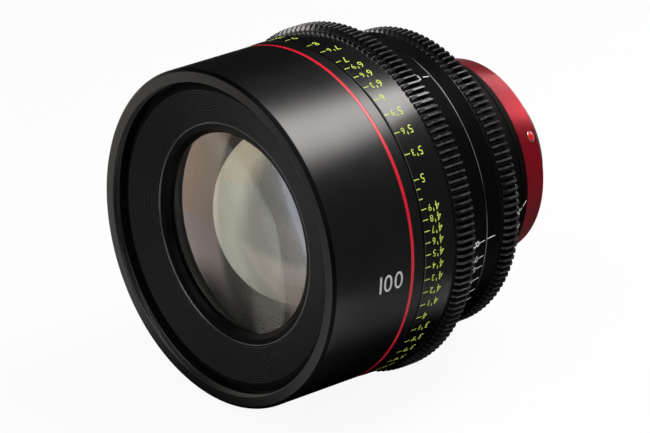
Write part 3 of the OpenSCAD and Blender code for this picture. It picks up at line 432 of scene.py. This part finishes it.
rib_pitch = (BAFFLE_LIP_R - BAFFLE_HOLE_R) / (BAFFLE_RIBS + 0.5)
baffle_black = ribbed_black("baffle_black", BAFFLE_LIP_R * MM, rib_pitch * MM, RIB_TOP_SHARE)
rib_points = []
for rib in range(BAFFLE_RIBS):
    for share, drop in RIB_SHAPE:
        r = BAFFLE_LIP_R - (rib + share) * rib_pitch
        rib_points.append((r, baffle_slope(r) - drop))
baffle_profile = (
    eased([(52.3, BAFFLE_SEAT), (52.3, 110.1, 0.1), (BAFFLE_LIP_R, BAFFLE_LIP_Z, 0)])[:-1] + rib_points
    + [(38.1, baffle_slope(38.1)), (37.92, BAFFLE_HOLE_Z + 0.02), (BAFFLE_HOLE_R, BAFFLE_HOLE_Z - 0.1),
       (BAFFLE_HOLE_R, 107.6), (48.5, 110.6), (50.4, BAFFLE_SEAT)])
piece("ribbed_baffle", turned(baffle_profile), "barrel", baffle_black, ["light_baffle"],
      sharp=25)

piece("glass_retainer", turned(eased([
    (33.7, 106.95, 0.05), (GLASS_R, 105.88), (37.6, 105.88), (37.6, 109.0, 0.16), (37.2, 109.0, 0.16),
    (37.1, 108.6, 0.1), (35.3, 108.3, 0.25)])), "barrel", deep_black, ["front_retainer"],
    parts=[(bead_line, 108.62, 109.2, 0)])


def glass_profile(r, z_back, back_curve, z_front, front_curve, steps=64):
    """From the back vertex round the edge to the front vertex.

    z_back and z_front are at the edge, and a positive curve bulges outwards on either side.
    """
    def rise(curve, at):
        return 0.0 if not curve else math.copysign(sag(abs(curve), r) - sag(abs(curve), at), curve)
    back = [(r * i / steps, z_back - rise(back_curve, r * i / steps)) for i in range(steps + 1)]
    front = [(r * i / steps, z_front + rise(front_curve, r * i / steps)) for i in range(steps, -1, -1)]
    return back + front


def glass_piece(name, node, finish, body, back_curve, front_curve, z_back, z_front, r, behind=None):
    """behind is the finish of its back and edge."""
    piece(name, turned(glass_profile(r, z_back, back_curve, z_front, front_curve), closed=False), body,
          finish, [node], parts=[(behind, 0.0, z_front, 0)] if behind else (), evened=False)


glass_piece("front_glass", "front_element", front_coat, "barrel", 0, 95, 102.83, 105.83, GLASS_R, front_back)
glass_piece("second_glass", "second_element", second_coat, "barrel", -220, 75, 86.83, 90.83, GLASS_R,
            second_back)


def inner_glass(name, node, finish, body, r, front_curve):
    """A glass with a flat back between the heights of its CAD node."""
    low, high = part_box(node)
    z_back, z_top = -high[1] / MM, -low[1] / MM
    z_front = z_top - (sag(front_curve, r) if front_curve > 0 else 0)
    glass_piece(name, node, finish, body, 0, front_curve, z_back, z_front, r)


inner_glass("focus_glass_a", "focus_element_a", inner_coat, "focus_group", 33.0, -120)
inner_glass("focus_glass_b", "focus_element_b", inner_coat, "focus_group", 33.0, 150)
inner_glass("rear_glass_a", "rear_element_a", rear_coat, "barrel", 24.0, 70)
inner_glass("rear_glass_b", "rear_element_b", rear_coat, "barrel", 22.0, 90)


# Geared rings

GEAR_MODULE, PRESSURE_ANGLE = 0.8, 20


def tooth_turns(teeth, tip, root):
    """The radius at each turn where a tooth changes: its foot, flanks and tip, for every tooth."""
    pitch_r = tip - GEAR_MODULE
    thick = math.pi * GEAR_MODULE / 2
    slope = math.tan(math.radians(PRESSURE_ANGLE))
    half_tip = math.degrees((thick / 2 - GEAR_MODULE * slope) / tip)
    half_foot = math.degrees((thick / 2 + (pitch_r - root) * slope) / root)
    ease = 0.09
    shape = [(-half_foot, root), (-half_tip - 0.03, tip - ease), (-half_tip + 0.07, tip),
             (half_tip - 0.07, tip), (half_tip + 0.03, tip - ease), (half_foot, root)]
    return {round(360 * i / teeth + a, 6): r for i in range(teeth) for a, r in shape}


def gear_cut(radii, root):
    """Cuts the gear's land down to the tooth's radius at each turn."""
    def cut(r, turn, z):
        return min(r, radii[turn]) if r > root else r
    return cut


def geared_ring(name, profile, teeth, tip, root, body, finish, node, part):
    radii = tooth_turns(teeth, tip, root)
    piece(name, turned(profile, sorted(radii), gear_cut(radii, root)), body, finish, [node],
          parts=[part])


geared_ring("focus_gear_ring", eased([
    (50.2, 45.0), (51.6, 45.0, 0.1), (*FOCUS_CONE[0], 0.1), (*FOCUS_CONE[1], 0.1), (58.4, 55.9, 0.1),
    (FOCUS_TIP, 56.7, 0.15), (FOCUS_TIP, 61.9, 0.2), (57.9, 63.5, 0.1), (FOCUS_BAND_R, 63.5, 0),
    (FOCUS_BAND_R, 76.65, 0.1), (56.95, 76.9, 0.1), (53.95, 76.9), (53.95, 62.5), (50.2, 62.5)]),
    FOCUS_TEETH, FOCUS_TIP, FOCUS_ROOT, "focus", focus_gear_black, "focus_ring", (deep_black, 45.6, 55.8, 0))

geared_ring("iris_gear_ring", eased([
    (38.06, 17.7), (40.55, 17.7, 0.1), (*IRIS_CONE[0], 0.1), (*IRIS_CONE[1], 0.1), (50.4, 28.5, 0.1),
    (IRIS_TIP, 29.3, 0.15), (IRIS_TIP, 33.5, 0.2), (49.9, 35.1, 0.1), (49.3, 35.1, 0), (49.3, 36.45, 0.1),
    (49.05, 36.7, 0.1), (44.46, 36.7), (44.46, 33.3), (45.2, 33.3), (45.2, 29.16), (38.06, 20.7)]),
    IRIS_TEETH, IRIS_TIP, IRIS_ROOT, "iris", iris_gear_black, "iris_ring", (rough_black, 17.0, 28.4, 0))


# Fixed index barrel behind the focus ring

piece("index_housing", turned(eased([
    (38.91, 37.0), (50.75, 37.0, 0.1), (*INDEX_CONE[0], 0.1), (*INDEX_CONE[1], 0.1), (51.75, 44.7, 0.1),
    (48.89, 44.7), (48.89, 50.7), (46.69, 50.7), (46.69, 40.0), (38.91, 40.0)])), "barrel", deep_black,
    ["index_barrel"], parts=[(rubbed_edge, 44.42, 44.68, 0)])


# Mount collar, with its bead and the bead's seat

BEAD_TURN, BEAD_Z, BEAD_R = 28.0, 4.4, 1.9
DOME_R, DOME_FOOT, DOME_RISE, DOME_DEPTH = BEAD_R - 0.35, 0.06, 0.42, 1.6
SEAT_R, SEAT_DEPTH = BEAD_R - 0.32, 1.0

piece("mount_collar_ring", turned(eased([
    (28.0, 1.1), (33.45, 1.1, 0.1), (*COLLAR_CONE[0], 0.12), (*COLLAR_CONE[1], 0.15), (36.25, 11.7, 0.1),
    (31.5, 11.7), (31.5, 6.0), (28.0, 6.0)])), "barrel", crimson, ["mount_collar"])


def spun_button(profile, turn, z, r, lean, segments=48):
    """A small turned piece set on the lens at a turn, its own axis leaning out of the surface."""
    bm = bmesh.new()
    rows = []
    out = Vector((math.cos(lean), 0, -math.sin(lean)))
    side, fore = Vector((0, 1, 0)), Vector((math.sin(lean), 0, math.cos(lean)))
    swing = Matrix.Rotation(math.radians(turn), 3, "Z")
    for i in range(segments):
        a = math.tau * i / segments
        row = []
        for rr, h in profile:
            p = Vector((r, 0, z)) + out * h + side * (rr * math.cos(a)) + fore * (rr * math.sin(a))
            q = swing @ p
            row.append(bm.verts.new(Vector((q.x, -q.z, q.y)) * MM))
        rows.append(row)
    for i, row in enumerate(rows):
        after = rows[(i + 1) % segments]
        for j in range(len(profile) - 1):
            bm.faces.new((row[j], row[j + 1], after[j + 1], after[j]))
    bmesh.ops.remove_doubles(bm, verts=bm.verts, dist=1e-8)
    return bm


collar_low, collar_high = COLLAR_CONE
collar_lean = math.atan2(collar_high[0] - collar_low[0], collar_high[1] - collar_low[1])
bead_place = (BEAD_TURN, BEAD_Z, cone(COLLAR_CONE)(BEAD_Z), collar_lean)
dome = [(0.0, -DOME_DEPTH), (DOME_R, -DOME_DEPTH), (DOME_R, DOME_FOOT)] + [
    (DOME_R * math.cos(math.radians(a)), DOME_FOOT + DOME_RISE * math.sin(math.radians(a)))
    for a in range(15, 91, 15)]
piece("index_dot", spun_button(dome, *bead_place), "barrel", bead_red, ["index_bead"])
seat_ring = [(SEAT_R, -SEAT_DEPTH), (BEAD_R, -SEAT_DEPTH), (BEAD_R, 0.05), (BEAD_R - 0.08, 0.12),
             (BEAD_R - 0.26, 0.12), (SEAT_R, 0.04), (SEAT_R, -SEAT_DEPTH)]
piece("index_dot_seat", spun_button(seat_ring, *bead_place), "barrel", bead_seat)


# Scales: figures and strokes lie on the metal as thin raised paint

SCALE_PROUD, SCALE_SUNK, FIGURE_CUTS = 0.035, 0.06, 8
FOOT_MARK = "'"
FOOT_MARK_SHRINK, FOOT_MARK_RAISE = 2.6, 0.66
glyphs = {}


def glyph(character):
    """One figure as (points, faces, width), one unit high, with points (x, y, whether proud)."""
    if character not in glyphs:
        letter = bpy.data.curves.new("figure", "FONT")
        letter.body = character
        letter.extrude = 0.5
        letter.resolution_u = 4
        holder = bpy.data.objects.new("figure", letter)
        bpy.context.scene.collection.objects.link(holder)
        made = bpy.data.meshes.new_from_object(holder.evaluated_get(bpy.context.evaluated_depsgraph_get()))
        bpy.data.objects.remove(holder)
        bpy.data.curves.remove(letter)
        low_x, high_x = min(v.co.x for v in made.vertices), max(v.co.x for v in made.vertices)
        low_y, high_y = min(v.co.y for v in made.vertices), max(v.co.y for v in made.vertices)
        tall = high_y - low_y
        cut_bm = bmesh.new()
        cut_bm.from_mesh(made)
        bmesh.ops.remove_doubles(cut_bm, verts=cut_bm.verts, dist=1e-5)
        for share in range(1, FIGURE_CUTS):
            bmesh.ops.bisect_plane(cut_bm, geom=cut_bm.verts[:] + cut_bm.edges[:] + cut_bm.faces[:],
                                   plane_co=(0, low_y + tall * share / FIGURE_CUTS, 0), plane_no=(0, 1, 0))
        cut_bm.to_mesh(made)
        cut_bm.free()
        points = [v.co.copy() for v in made.vertices]
        raised = 0.0
        if character == FOOT_MARK:
            tall *= FOOT_MARK_SHRINK
            raised = FOOT_MARK_RAISE
        flat = [((p.x - low_x) / tall, (p.y - low_y) / tall + raised, p.z > 0) for p in points]
        glyphs[character] = (flat, [list(f.vertices) for f in made.polygons], (high_x - low_x) / tall)
        bpy.data.meshes.remove(made)
    return glyphs[character]


class Scale:
    """Gathers the figures and strokes of one scale on a surface of radius surface(z)."""
    def __init__(self, surface, forward):
        self.bm, self.surface, self.forward = bmesh.new(), surface, forward

    def point(self, turn, z, across, up, proud):
        """across runs in the reading direction and up across it, in mm, from the place (turn, z)."""
        way = 1 if self.forward else -1
        at_z = z + way * across
        r = self.surface(at_z)
        return on_lens(r + (SCALE_PROUD if proud else -SCALE_SUNK), turn - way * math.degrees(up / r), at_z)

    def add(self, points, faces):
        verts = [self.bm.verts.new(p) for p in points]
        for face in faces:
            self.bm.faces.new([verts[i] for i in face])

    def word(self, text, turn, z, height, space=0.14, wide=1.0):
        """Sets text centred on (turn, z)."""
        width = sum(glyph(c)[2] * wide + space for c in text) * height - space * height
        start = -width / 2
        for character in text:
            flat, faces, broad = glyph(character)
            self.add([self.point(turn, z, start + x * height * wide, (y - 0.5) * height, proud)
                      for x, y, proud in flat], faces)
            start += (broad * wide + space) * height

    def stroke(self, turn, z0, z1, width):
        """A straight mark along the axis."""
        steps = 4
        points, faces = [], []
        for i in range(steps + 1):
            z = z0 + (z1 - z0) * i / steps
            r = self.surface(z)
            half = math.degrees(width / 2 / r)
            low, high = r - SCALE_SUNK, r + SCALE_PROUD
            for rr, a in ((low, -half), (high, -half), (high, half), (low, half)):
                points.append(on_lens(rr, turn + a, z))
        for i in range(steps):
            for k in range(4):
                a, b = 4 * i + k, 4 * i + (k + 1) % 4
                faces.append([a, b, b + 4, a + 4])
        faces += [[0, 1, 2, 3], [4 * steps + k for k in (3, 2, 1, 0)]]
        self.add(points, faces)

    def endless(self, turn, z, height):
        """The sign for the far end of the scale: a figure eight on its side."""
        flat, faces, broad = glyph("8")
        self.add([self.point(turn, z, (y - 0.5) * height, (broad / 2 - x) * height, proud)
                  for x, y, proud in flat], faces)

    def done(self, name, body, finish):
        bmesh.ops.remove_doubles(self.bm, verts=self.bm.verts, dist=2e-6)
        piece(name, self.bm, body, finish)


# The throw in degrees is THROW_SPREAD / (feet - THROW_NEAR)
THROW_SPREAD, THROW_NEAR = 612, 0.924
FAR_TURN, INDEX_TURN = 176.5, -3.5

# Heights of the front scale's rows, and its strokes as (low, high, width)
FEET_Z, MARK_Z, INCH_Z, UNIT_Z, TENS_Z = 69.75, 71.5, 73.0, 72.9, 72.3
FIGURE_TALL, INCH_TALL = 2.9, 2.3
FIGURE_WIDE, INCH_TIGHT = 0.92, 0.55
FRONT_STROKE, SHORT_STROKE = (74.5, 76.72, 0.32), (75.1, 76.72, 0.30)


def throw(feet):
    """Degrees that the ring turns from the far end to a distance in feet."""
    return THROW_SPREAD / (feet - THROW_NEAR)


front_scale = Scale(lambda z: FOCUS_BAND_R, True)
front_feet = [(f, 0) for f in (40, 30, 20, 15, 12, 10, 9, 8)] + [
    (7, 6), (7, 0), (6, 9), (6, 6), (6, 3), (6, 0), (5, 9), (5, 6), (5, 3), (5, 0)] + [
    (4, i) for i in range(9, -1, -1)] + [(3, i) for i in range(11, -1, -1)]
for feet, inches in front_feet:
    turn = FAR_TURN - throw(feet + inches / 12)
    front_scale.stroke(turn, *FRONT_STROKE)
    if inches:
        inch_wide = FIGURE_WIDE if inches < 10 else INCH_TIGHT
        front_scale.word(str(feet), turn, FEET_Z, FIGURE_TALL, wide=FIGURE_WIDE)
        front_scale.word(FOOT_MARK, turn, MARK_Z, FIGURE_TALL)
        front_scale.word(str(inches), turn, INCH_Z, INCH_TALL, space=0.08, wide=inch_wide)
    else:
        front_scale.word(str(feet), turn, UNIT_Z if feet < 10 else TENS_Z, FIGURE_TALL, wide=FIGURE_WIDE)
for feet in (4 + 11 / 12, 4 + 10 / 12):
    front_scale.stroke(FAR_TURN - throw(feet), *SHORT_STROKE)
front_scale.endless(FAR_TURN, 72.6, 4.0)
front_scale.stroke(FAR_TURN, *FRONT_STROKE)
front_scale.done("focus_front_scale", "focus", lime_paint)


REAR_FIGURE_Z, REAR_FIGURE_TALL = 50.7, 2.2
REAR_STROKE, REAR_FAR_STROKE = (45.75, 48.7, 0.3), (45.75, 48.9, 0.3)
rear_scale = Scale(cone(FOCUS_CONE), False)
rear_scale.endless(INDEX_TURN, 50.6, 3.4)
rear_scale.stroke(INDEX_TURN, *REAR_FAR_STROKE)
for feet in (100, 60, 40, 30, 25, 20, 15, 12, 10, 9, 8, 7, 6, 5, 4, 3):
    turn = INDEX_TURN - throw(feet)
    rear_scale.stroke(turn, *REAR_STROKE)
    rear_scale.word(str(feet), turn, REAR_FIGURE_Z, REAR_FIGURE_TALL, wide=0.9)
rear_scale.done("focus_rear_scale", "focus", white_paint)


focus_line = Scale(cone(INDEX_CONE), False)
focus_line.stroke(INDEX_TURN, 40.4, 44.4, 0.32)
focus_line.done("focus_index_line", "barrel", white_paint)
iris_line = Scale(cone(REAR_CONE), False)
iris_line.stroke(INDEX_TURN, 12.9, 17.0, 0.32)
iris_line.done("iris_index_line", "barrel", white_paint)
iris_scale = Scale(cone(IRIS_CONE), False)
STOPS, IRIS_THROW = ("2.2", "2.8", "4", "5.6", "8", "11", "16", "22"), 60
for step, stop in enumerate(STOPS):
    turn = INDEX_TURN - step * IRIS_THROW / (len(STOPS) - 1)
    iris_scale.stroke(turn, 18.1, 20.6, 0.3)
    iris_scale.word(stop, turn, 22.8, 2.0, wide=0.9)
iris_scale.done("iris_scale_marks", "iris", white_paint)

number_place = Scale(lambda z: FRONT_R, False)
number_place.word("100", -4.0, 91.4, 6.0, space=0.16, wide=0.95)
number_place.done("length_number", "barrel", grey_paint)


# Finishes of the CAD pieces that stay

BLADES = 11
for names, finish in (
        (("front_spacer", "front_cell", "focus_cell", "focus_spacer", "iris_base", "rear_cell",
          "rear_mask"), inner_black),
        (("focus_retainer", "rear_retainer_a", "rear_retainer_b"), deep_black),
        (("rear_barrel",), rough_black),
        (("front_screws", "guide_tube", "cam_screws", "index_screws", "iris_drive_pin", "cam_followers",
          "iris_cam_ring", "mount_screws"), steel),
        (("cam_sleeve", "focus_bush_front", "focus_bush_rear"), brass),
        (("bayonet_mount",), chrome),
        (tuple(f"iris_blade_{i:02d}" for i in range(1, BLADES + 1)), blade_steel)):
    for name in names:
        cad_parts[name].data.materials.clear()
        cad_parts[name].data.materials.append(finish.material)


# Floor, light and camera

FLOOR_HALF = 3.0
LENS_MIDDLE = Vector((0, -0.06, 0))
FOOTPRINT_X, FOOTPRINT_Y = (-0.055, 0.055), (-0.1159, 0.0065)
CAMERA_AT = (1.0949, -1.0499, 0.5837)
CAMERA_RIGHT = (0.6673, 0.7448, 0.0)
CAMERA_UP = (-0.2766, 0.2478, 0.9285)
CAMERA_BACK = (0.6915, -0.6196, 0.3714)
SENSOR_WIDTH, FOCAL_LENGTH = 36.0, 265.8
WORLD_LEVEL = 0.08

floor_mesh = bpy.data.meshes.new("floor")
floor_bm = bmesh.new()
bmesh.ops.create_grid(floor_bm, x_segments=8, y_segments=8, size=FLOOR_HALF)
floor_bm.to_mesh(floor_mesh)
floor_bm.free()
floor = bpy.data.objects.new("floor", floor_mesh)
floor.location = (0, 0, FLOOR_Z * MM)
bpy.context.scene.collection.objects.link(floor)

sheet = Finish("white_sheet")
path = sheet.node("LightPath", out="Is Camera Ray")
in_gloss = path.out("Is Glossy Ray").most(path.out("Is Transmission Ray"))
spot = sheet.node("SeparateXYZ", sockets={0: sheet.place()})


def beyond(value, low, high):
    """How far a coordinate lies outside a range."""
    return (low - value).most(value - high).most(0.0)


# How the floor shows in gloss and glass, with painted shade: a painted shadow under the lens, and painted
# darkening far away, beside it and in a strip behind it
floor_x, floor_y = spot.out("X"), spot.out("Y")
clear_x, clear_y = beyond(floor_x, *FOOTPRINT_X), beyond(floor_y, *FOOTPRINT_Y)
clear = (clear_x * clear_x + clear_y * clear_y) ** 0.5
across = floor_x * 0.667 - floor_y * 0.742
shadow = 0.026 + sheet.span(floor_x, -0.05, 0.0, 0.036, 0.0) * sheet.span(floor_y, -0.13, -0.11, 1.0, 0.0)
near_lit = sheet.span(clear / shadow, 0.0, 1.0) * sheet.span(clear, 0.30, 0.55, 1.0, 0.22)
far_side = sheet.span(across, 0.108, 0.122) * sheet.span(floor_y, -0.25, -0.215)
side_dim = sheet.span(across, 0.065, 0.079, 0.0, 0.72) * (1 - far_side)
strip_dim = sheet.span(beyond(floor_x - floor_y * 0.35, -0.25, 0.08), 0.0, 0.03, 0.94, 0.0)
lit = near_lit * (1 - side_dim) * (1 - strip_dim * sheet.span(floor_y, 0.0, 0.02))
pale = sheet.blend(sheet.grain(sheet.place(), 3.0), (0.80, 0.80, 0.80), (0.84, 0.84, 0.84))
shown = path + (1 - path) * lit
shown_grey = sheet.node("CombineColor", sockets={0: shown, 1: shown, 2: shown})
sheet.close(sheet.node("MixShader", {}, {
    0: path * 0.93 + (1 - path) * in_gloss,
    1: sheet.node("BsdfDiffuse", {}, {"Color": pale}),
    2: sheet.node("Emission", {}, {"Color": shown_grey, "Strength": 1.0})}))
floor_mesh.materials.append(sheet.material)


def softbox(name, direction, distance, wide, tall, radiance, tint=(1, 1, 1)):
    """An area lamp that faces the lens from a direction; radiance 1 is as bright as white."""
    lamp = bpy.data.lights.new(name, "AREA")
    lamp.shape, lamp.size, lamp.size_y = "RECTANGLE", wide, tall
    lamp.energy = radiance * math.pi * wide * tall
    lamp.color = tint
    holder = bpy.data.objects.new(name, lamp)
    holder.location = LENS_MIDDLE + Vector(direction).normalized() * distance
    holder.rotation_euler = (LENS_MIDDLE - holder.location).to_track_quat("-Z", "Y").to_euler()
    holder.visible_camera = holder.visible_transmission = False
    bpy.context.scene.collection.objects.link(holder)


softbox("key_softbox", (0.13, 0.235, 0.50), 0.57, 0.29, 0.31, 11.0, (1.0, 0.965, 0.945))
softbox("front_fill", (0.55, -0.75, 0.45), 1.3, 1.2, 1.0, 1.2)
softbox("front_top", (0.05, -0.67, 0.72), 0.75, 0.5, 0.4, 3.0)
softbox("back_card", (-0.08, 0.97, 0.25), 0.49, 0.34, 0.13, 3.4)

# Dark flags on the right and behind, out of the picture, that the gloss of the barrel shows
side = Vector(CAMERA_RIGHT)
away = Vector((-side.y, side.x, 0))


def screen(name, plan, face, in_glass):
    """A standing screen along points (x, y, top) in metres, seen in gloss, and through glass if in_glass."""
    bm = bmesh.new()
    rows = [[bm.verts.new((x, y, h)) for h in (FLOOR_Z * MM, top)] for x, y, top in plan]
    for near, far in zip(rows, rows[1:]):
        bm.faces.new((near[0], far[0], far[1], near[1]))
    mesh = bpy.data.meshes.new(name)
    bm.to_mesh(mesh)
    bm.free()
    made = bpy.data.objects.new(name, mesh)
    made.visible_camera = made.visible_diffuse = made.visible_shadow = False
    made.visible_transmission = in_glass
    bpy.context.scene.collection.objects.link(made)
    mesh.materials.append(face.material)


def dark_flag(name, plan, shade):
    """A dark screen glowing faintly at the level shade, a painted stand-in for dark surroundings seen in
    gloss, along points (to the right, away from the camera, top), all in metres.
    """
    flag_glow = Finish(name)
    flag_glow.close(flag_glow.node("Emission", {}, {"Color": flag_glow.blend(
        flag_glow.grain(flag_glow.place(), 40.0), (shade * 0.9,) * 3, (shade * 1.1,) * 3), "Strength": 1.0}))
    feet = [(LENS_MIDDLE + side * aside + away * far, top) for aside, far, top in plan]
    screen(name, [(foot.x, foot.y, top) for foot, top in feet], flag_glow, False)


def glow_card(name, dim_end, bright_end, turn_on, foot, head, dim, bright):
    """A white card, seen in gloss and through glass.

    Its light grows along it over the shares turn_on, dims to the share foot at the floor, and fades out
    between the two heights of head.
    """
    card = Finish(name)
    at = card.node("SeparateXYZ", sockets={0: card.place()})
    along = Vector(bright_end) - Vector(dim_end)
    run = ((at.out("X") - dim_end[0]) * along.x + (at.out("Y") - dim_end[1]) * along.y) / along.length_squared
    height = at.out("Z")
    grow = card.span(run, *turn_on) * card.span(height, FLOOR_Z * MM, 0.0, foot, 1.0)
    grow = grow * card.span(height, *head, 1.0, 0.0)
    card.close(card.node("Emission", {}, {"Color": card.blend(grow, dim, bright), "Strength": 1.0}))
    screen(name, [(*dim_end, head[1]), (*bright_end, head[1])], card, True)


dark_flag("side_flag", [(0.100, -0.5, 0.13), (0.100, 0.045, 0.13)], 0.12)
dark_flag("low_flag", [(0.100, 0.045, 0.0), (0.100, 0.26, 0.0)], 0.05)
dark_flag("back_flag", [(0.03, 0.44, 0.40), (-0.05, 0.46, 0.45), (-0.25, 0.46, 0.45), (-0.40, 0.40, 0.40)],
          0.012)

glow_card("left_wall", (-0.120, -0.360), (-0.215, -0.050), (0.368, 0.416), 0.8, (0.03, 0.12),
          (0.28, 0.28, 0.27), (1.25, 1.15, 1.00))

world = bpy.data.worlds.new("studio")
bpy.context.scene.world = world
world.use_nodes = True
world.node_tree.nodes["Background"].inputs["Color"].default_value = (1, 1, 1, 1)
world.node_tree.nodes["Background"].inputs["Strength"].default_value = WORLD_LEVEL

camera = bpy.data.objects.new("product_camera", bpy.data.cameras.new("product_camera"))
camera.data.sensor_width = SENSOR_WIDTH
camera.data.lens = FOCAL_LENGTH
camera.data.clip_end = 20
camera_turn = Matrix((CAMERA_RIGHT, CAMERA_UP, CAMERA_BACK)).transposed().to_4x4()
camera.matrix_world = Matrix.Translation(CAMERA_AT) @ camera_turn
bpy.context.scene.collection.objects.link(camera)
bpy.context.scene.camera = camera
bpy.context.scene.view_settings.view_transform = "Standard"
